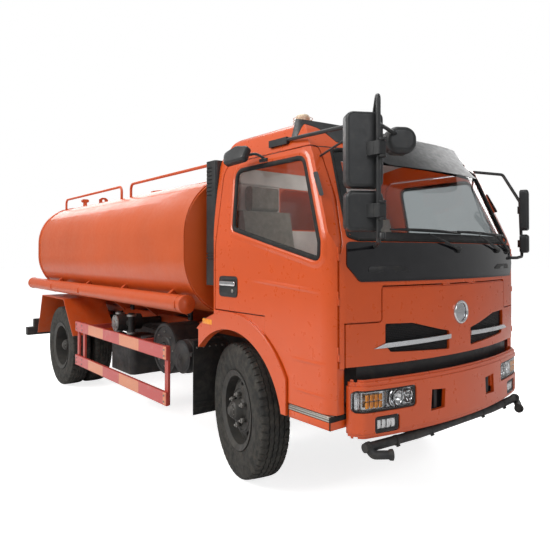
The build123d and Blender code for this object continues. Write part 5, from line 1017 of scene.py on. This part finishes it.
HOSE_X, HOSE_Z = 1.075, 1.230
for name, side in SIDES.items():
    # ribs and bolts of the flaps behind the front wheels
    piece(f"flap_ribs_{name}", "chassis", "tank_black", "flap_rubber", 40,
          *((add_box, (side * 0.840, behind(0.598), z), (0.280, 0.006, 0.012), 0.002) for z in (0.388, 0.424, 0.900)))
    piece(f"flap_bolts_{name}", "chassis", "tank_black", "nut_steel", 40,
          *((add_nut, (side * x, behind(0.596), 0.872), AHEAD, 0.009, 0.006, False) for x in spread(0.72, 0.96, 4)))
    # wiring and air lines along the rails
    piece(f"rail_lines_{name}", "chassis", "chassis_black", "seal_rubber", 60,
          *((add_tube, [(side * 0.436, behind(-0.30 + 0.62 * k), z + (0.012 if k % 2 else -0.010)) for k in range(8)],
             radius, 0.12, 8) for z, radius in ((0.780, 0.008), (0.800, 0.006), (0.816, 0.006))))
    # black straps that hold the tank to its frame
    for station in (1.30, 2.62, 3.60):
        piece(f"tank_strap_{station:.2f}_{name}", "chassis", "chassis_black", "chassis", 40,
              (add_box, (side * 0.62, behind(station), 1.060), (0.024, 0.060, 0.120), 0.003),
              (add_nut, (side * 0.634, behind(station), 1.040), (side, 0, 0), 0.013, 0.010))
    # hose tubes: end caps and bands with a latch
    piece(f"hose_caps_{name}", "chassis", "hose_tube_paint", "fitting_paint", 50,
          *((add_lathe, [(0.0715, -0.030), (0.0755, -0.028), (0.0755, 0.004), (0.066, 0.008), (0.030, 0.009),
                         (0.026, 0.013), (0, 0.013)], (side * HOSE_X, behind(y), HOSE_Z), facing, 40)
            for y, facing in ((0.560, AHEAD), (4.940, BACKWARD))))
    piece(f"hose_latches_{name}", "chassis", "hose_tube_paint", "fitting_paint", 50,
          *((add_lathe, [(0.0715, -0.006), (0.0745, -0.005), (0.0745, 0.005), (0.0715, 0.006)],
             (side * HOSE_X, behind(y), HOSE_Z), BACKWARD, 40) for y in (0.640, 2.900, 3.900)),
          *((add_box, (side * 1.148, behind(y), 1.2275), (0.012, 0.032, 0.055), 0.003) for y in (0.640, 2.900, 3.900)))

# lugs round the manhole's collar, and the ring and handle of its lid
MANHOLE_Y = behind(2.900)
piece("manhole_lugs", "chassis", "paint_tank", "tank_paint", 40,
      *((add_box, (s * 0.238, MANHOLE_Y + c * 0.238, 2.350), (0.024, 0.024, 0.028), 0.003) for c, s in spin(8, 0.5)))
piece("manhole_handle", "manhole_lid", "paint_tank", "tank_paint", 50,
      (add_ring, box_outline(0, 0, 0.300, 0.300, 0.149), lambda u, v, w: Vector((u, MANHOLE_Y + v, 2.411 + w)),
       ((-0.010, -0.004), (-0.006, 0.004), (0.004, 0.005), (0.010, -0.004))),
      (add_tube, [(x, MANHOLE_Y, z) for x, z in ((-0.060, 2.408), (-0.060, 2.436), (0.060, 2.436), (0.060, 2.408))],
       0.007, 0.02, 10))

# ---------------------------------------------------------------- rear: lamps, plate and tape

BEAM_BACK = 5.0505
for name, side in SIDES.items():
    for index, (x, width, finish, slot_name) in enumerate(((0.965, 0.110, "lens_red", "lamp_clear"),
                                                           (0.850, 0.090, "amber", "lamp_amber"),
                                                           (0.745, 0.085, "lens_clear", "lamp_clear"))):
        piece(f"tail_lens_{index + 1}_{name}", "chassis", slot_name, finish, 40,
              (add_slab, box_outline(side * x, 0.656, width, 0.092, 0.012), upright(behind(5.0345), 1), (0, 0.006),
               0.002))
    piece(f"rear_tape_{name}", "chassis", "guard_paint", "tape_red", 40,
          *((add_box, (side * x, behind(BEAM_BACK + 0.001), 0.545), (0.26, 0.002, 0.074)) for x in (0.25, 0.57, 0.89)))
piece("plate_blank", "chassis", "paint_tank", "silver_trim", 40,
      (add_slab, box_outline(0, 0.545, 0.440, 0.090, 0.010), upright(behind(BEAM_BACK), 1), (0, 0.003), 0.001))

# ---------------------------------------------------------------- camera, lights and floor

IMAGE_PIXELS = 550
FOCAL_PIXELS = 537.4
PRINCIPAL_POINT = (284.47, 247.80)
SENSOR = 36.0
CAMERA_PLACE = Vector((-3.189, behind(-3.224), 1.622))
CAMERA_YAW = 0.6893          # from +Y toward +X
CAMERA_PITCH = 0.0135


def stage_object(name, data, place):
    made = bpy.data.objects.new(name, data)
    made.location = place
    SCENE.collection.objects.link(made)
    return made


def area_light(name, place, target, size, watts, colour=(1, 1, 1)):
    data = bpy.data.lights.new(name, "AREA")
    data.shape = "RECTANGLE"
    data.size, data.size_y = size
    data.energy = watts
    data.color = colour
    light = stage_object(name, data, place)
    light.rotation_mode = "QUATERNION"
    light.rotation_quaternion = (Vector(target) - Vector(place)).to_track_quat("-Z", "Y")


camera_data = bpy.data.cameras.new("camera")
camera_data.sensor_width = SENSOR
camera_data.lens = SENSOR * FOCAL_PIXELS / IMAGE_PIXELS
camera_data.shift_x = (IMAGE_PIXELS / 2 - PRINCIPAL_POINT[0]) / IMAGE_PIXELS
camera_data.shift_y = (PRINCIPAL_POINT[1] - IMAGE_PIXELS / 2) / IMAGE_PIXELS
SCENE.camera = stage_object("camera", camera_data, CAMERA_PLACE)
SCENE.camera.rotation_euler = (math.pi / 2 + CAMERA_PITCH, 0, -CAMERA_YAW)

area_light("key", (-9.0, 1.5, 8.0), (0, -0.2, 1.0), (7, 5), 900, (1.0, 0.985, 0.96))
area_light("front", (-3.0, -10.0, 5.5), (0, -2.0, 1.0), (6, 3), 170, (0.97, 0.98, 1.0))
area_light("top", (0.5, 1.0, 9.0), (0, 0.2, 1.5), (4, 10), 380)
area_light("left", (9.0, 1.0, 6.0), (0, 0, 1.0), (6, 5), 260)
area_light("back", (2.0, 11.0, 6.0), (0, 1.0, 1.0), (6, 4), 220)

cab_light_data = bpy.data.lights.new("cab_light", "POINT")
cab_light_data.energy = 7
cab_light_data.shadow_soft_size = 0.25
cab_light = stage_object("cab_light", cab_light_data, (0, behind(-0.35), 2.15))
cab_light.visible_camera = cab_light.visible_transmission = cab_light.visible_glossy = False

world = bpy.data.worlds.new("studio")
world.use_nodes = True
SCENE.world = world
world_tree = world.node_tree
background = world_tree.nodes["Background"]
background.inputs["Color"].default_value = (1, 1, 1, 1)
light_path = world_tree.nodes.new("ShaderNodeLightPath")
seen = world_tree.nodes.new("ShaderNodeMapRange")
seen.inputs["To Min"].default_value = 0.36     # strength as light
seen.inputs["To Max"].default_value = 1.0      # strength as seen
world_tree.links.new(light_path.outputs["Is Camera Ray"], seen.inputs["Value"])
world_tree.links.new(seen.outputs["Result"], background.inputs["Strength"])

floor_bm = bmesh.new()
bmesh.ops.create_grid(floor_bm, x_segments=1, y_segments=1, size=60.0)
floor_mesh = bpy.data.meshes.new("floor")
floor_bm.to_mesh(floor_mesh)
floor_bm.free()
floor = stage_object("floor", floor_mesh, (0, 0, 0))
floor_nodes = Nodes("floor")
grey = floor_nodes.mix(floor_nodes.ramp(floor_nodes.noise(1.2, 5), 0.3, 0.7), (0.66, 0.66, 0.66), (0.64, 0.64, 0.64))
# the studio floor glows for the camera alone, so that it ends in the white background with no edge
floor_seen = floor_nodes.add("ShaderNodeLightPath").outputs["Is Camera Ray"]
floor_nodes.set(Base_Color=grey, Roughness=0.8, Emission_Color=(1.0, 1.0, 1.0),
                Emission_Strength=floor_nodes.multiply(floor_seen, 0.80))
floor_mesh.materials.append(M["floor"])
floor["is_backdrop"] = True

SCENE.view_settings.view_transform = "Standard"

low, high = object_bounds()
for corners in ((cad_low, cad_high), (low, high)):
    [[round(v, 5) for v in corner] for corner in corners]
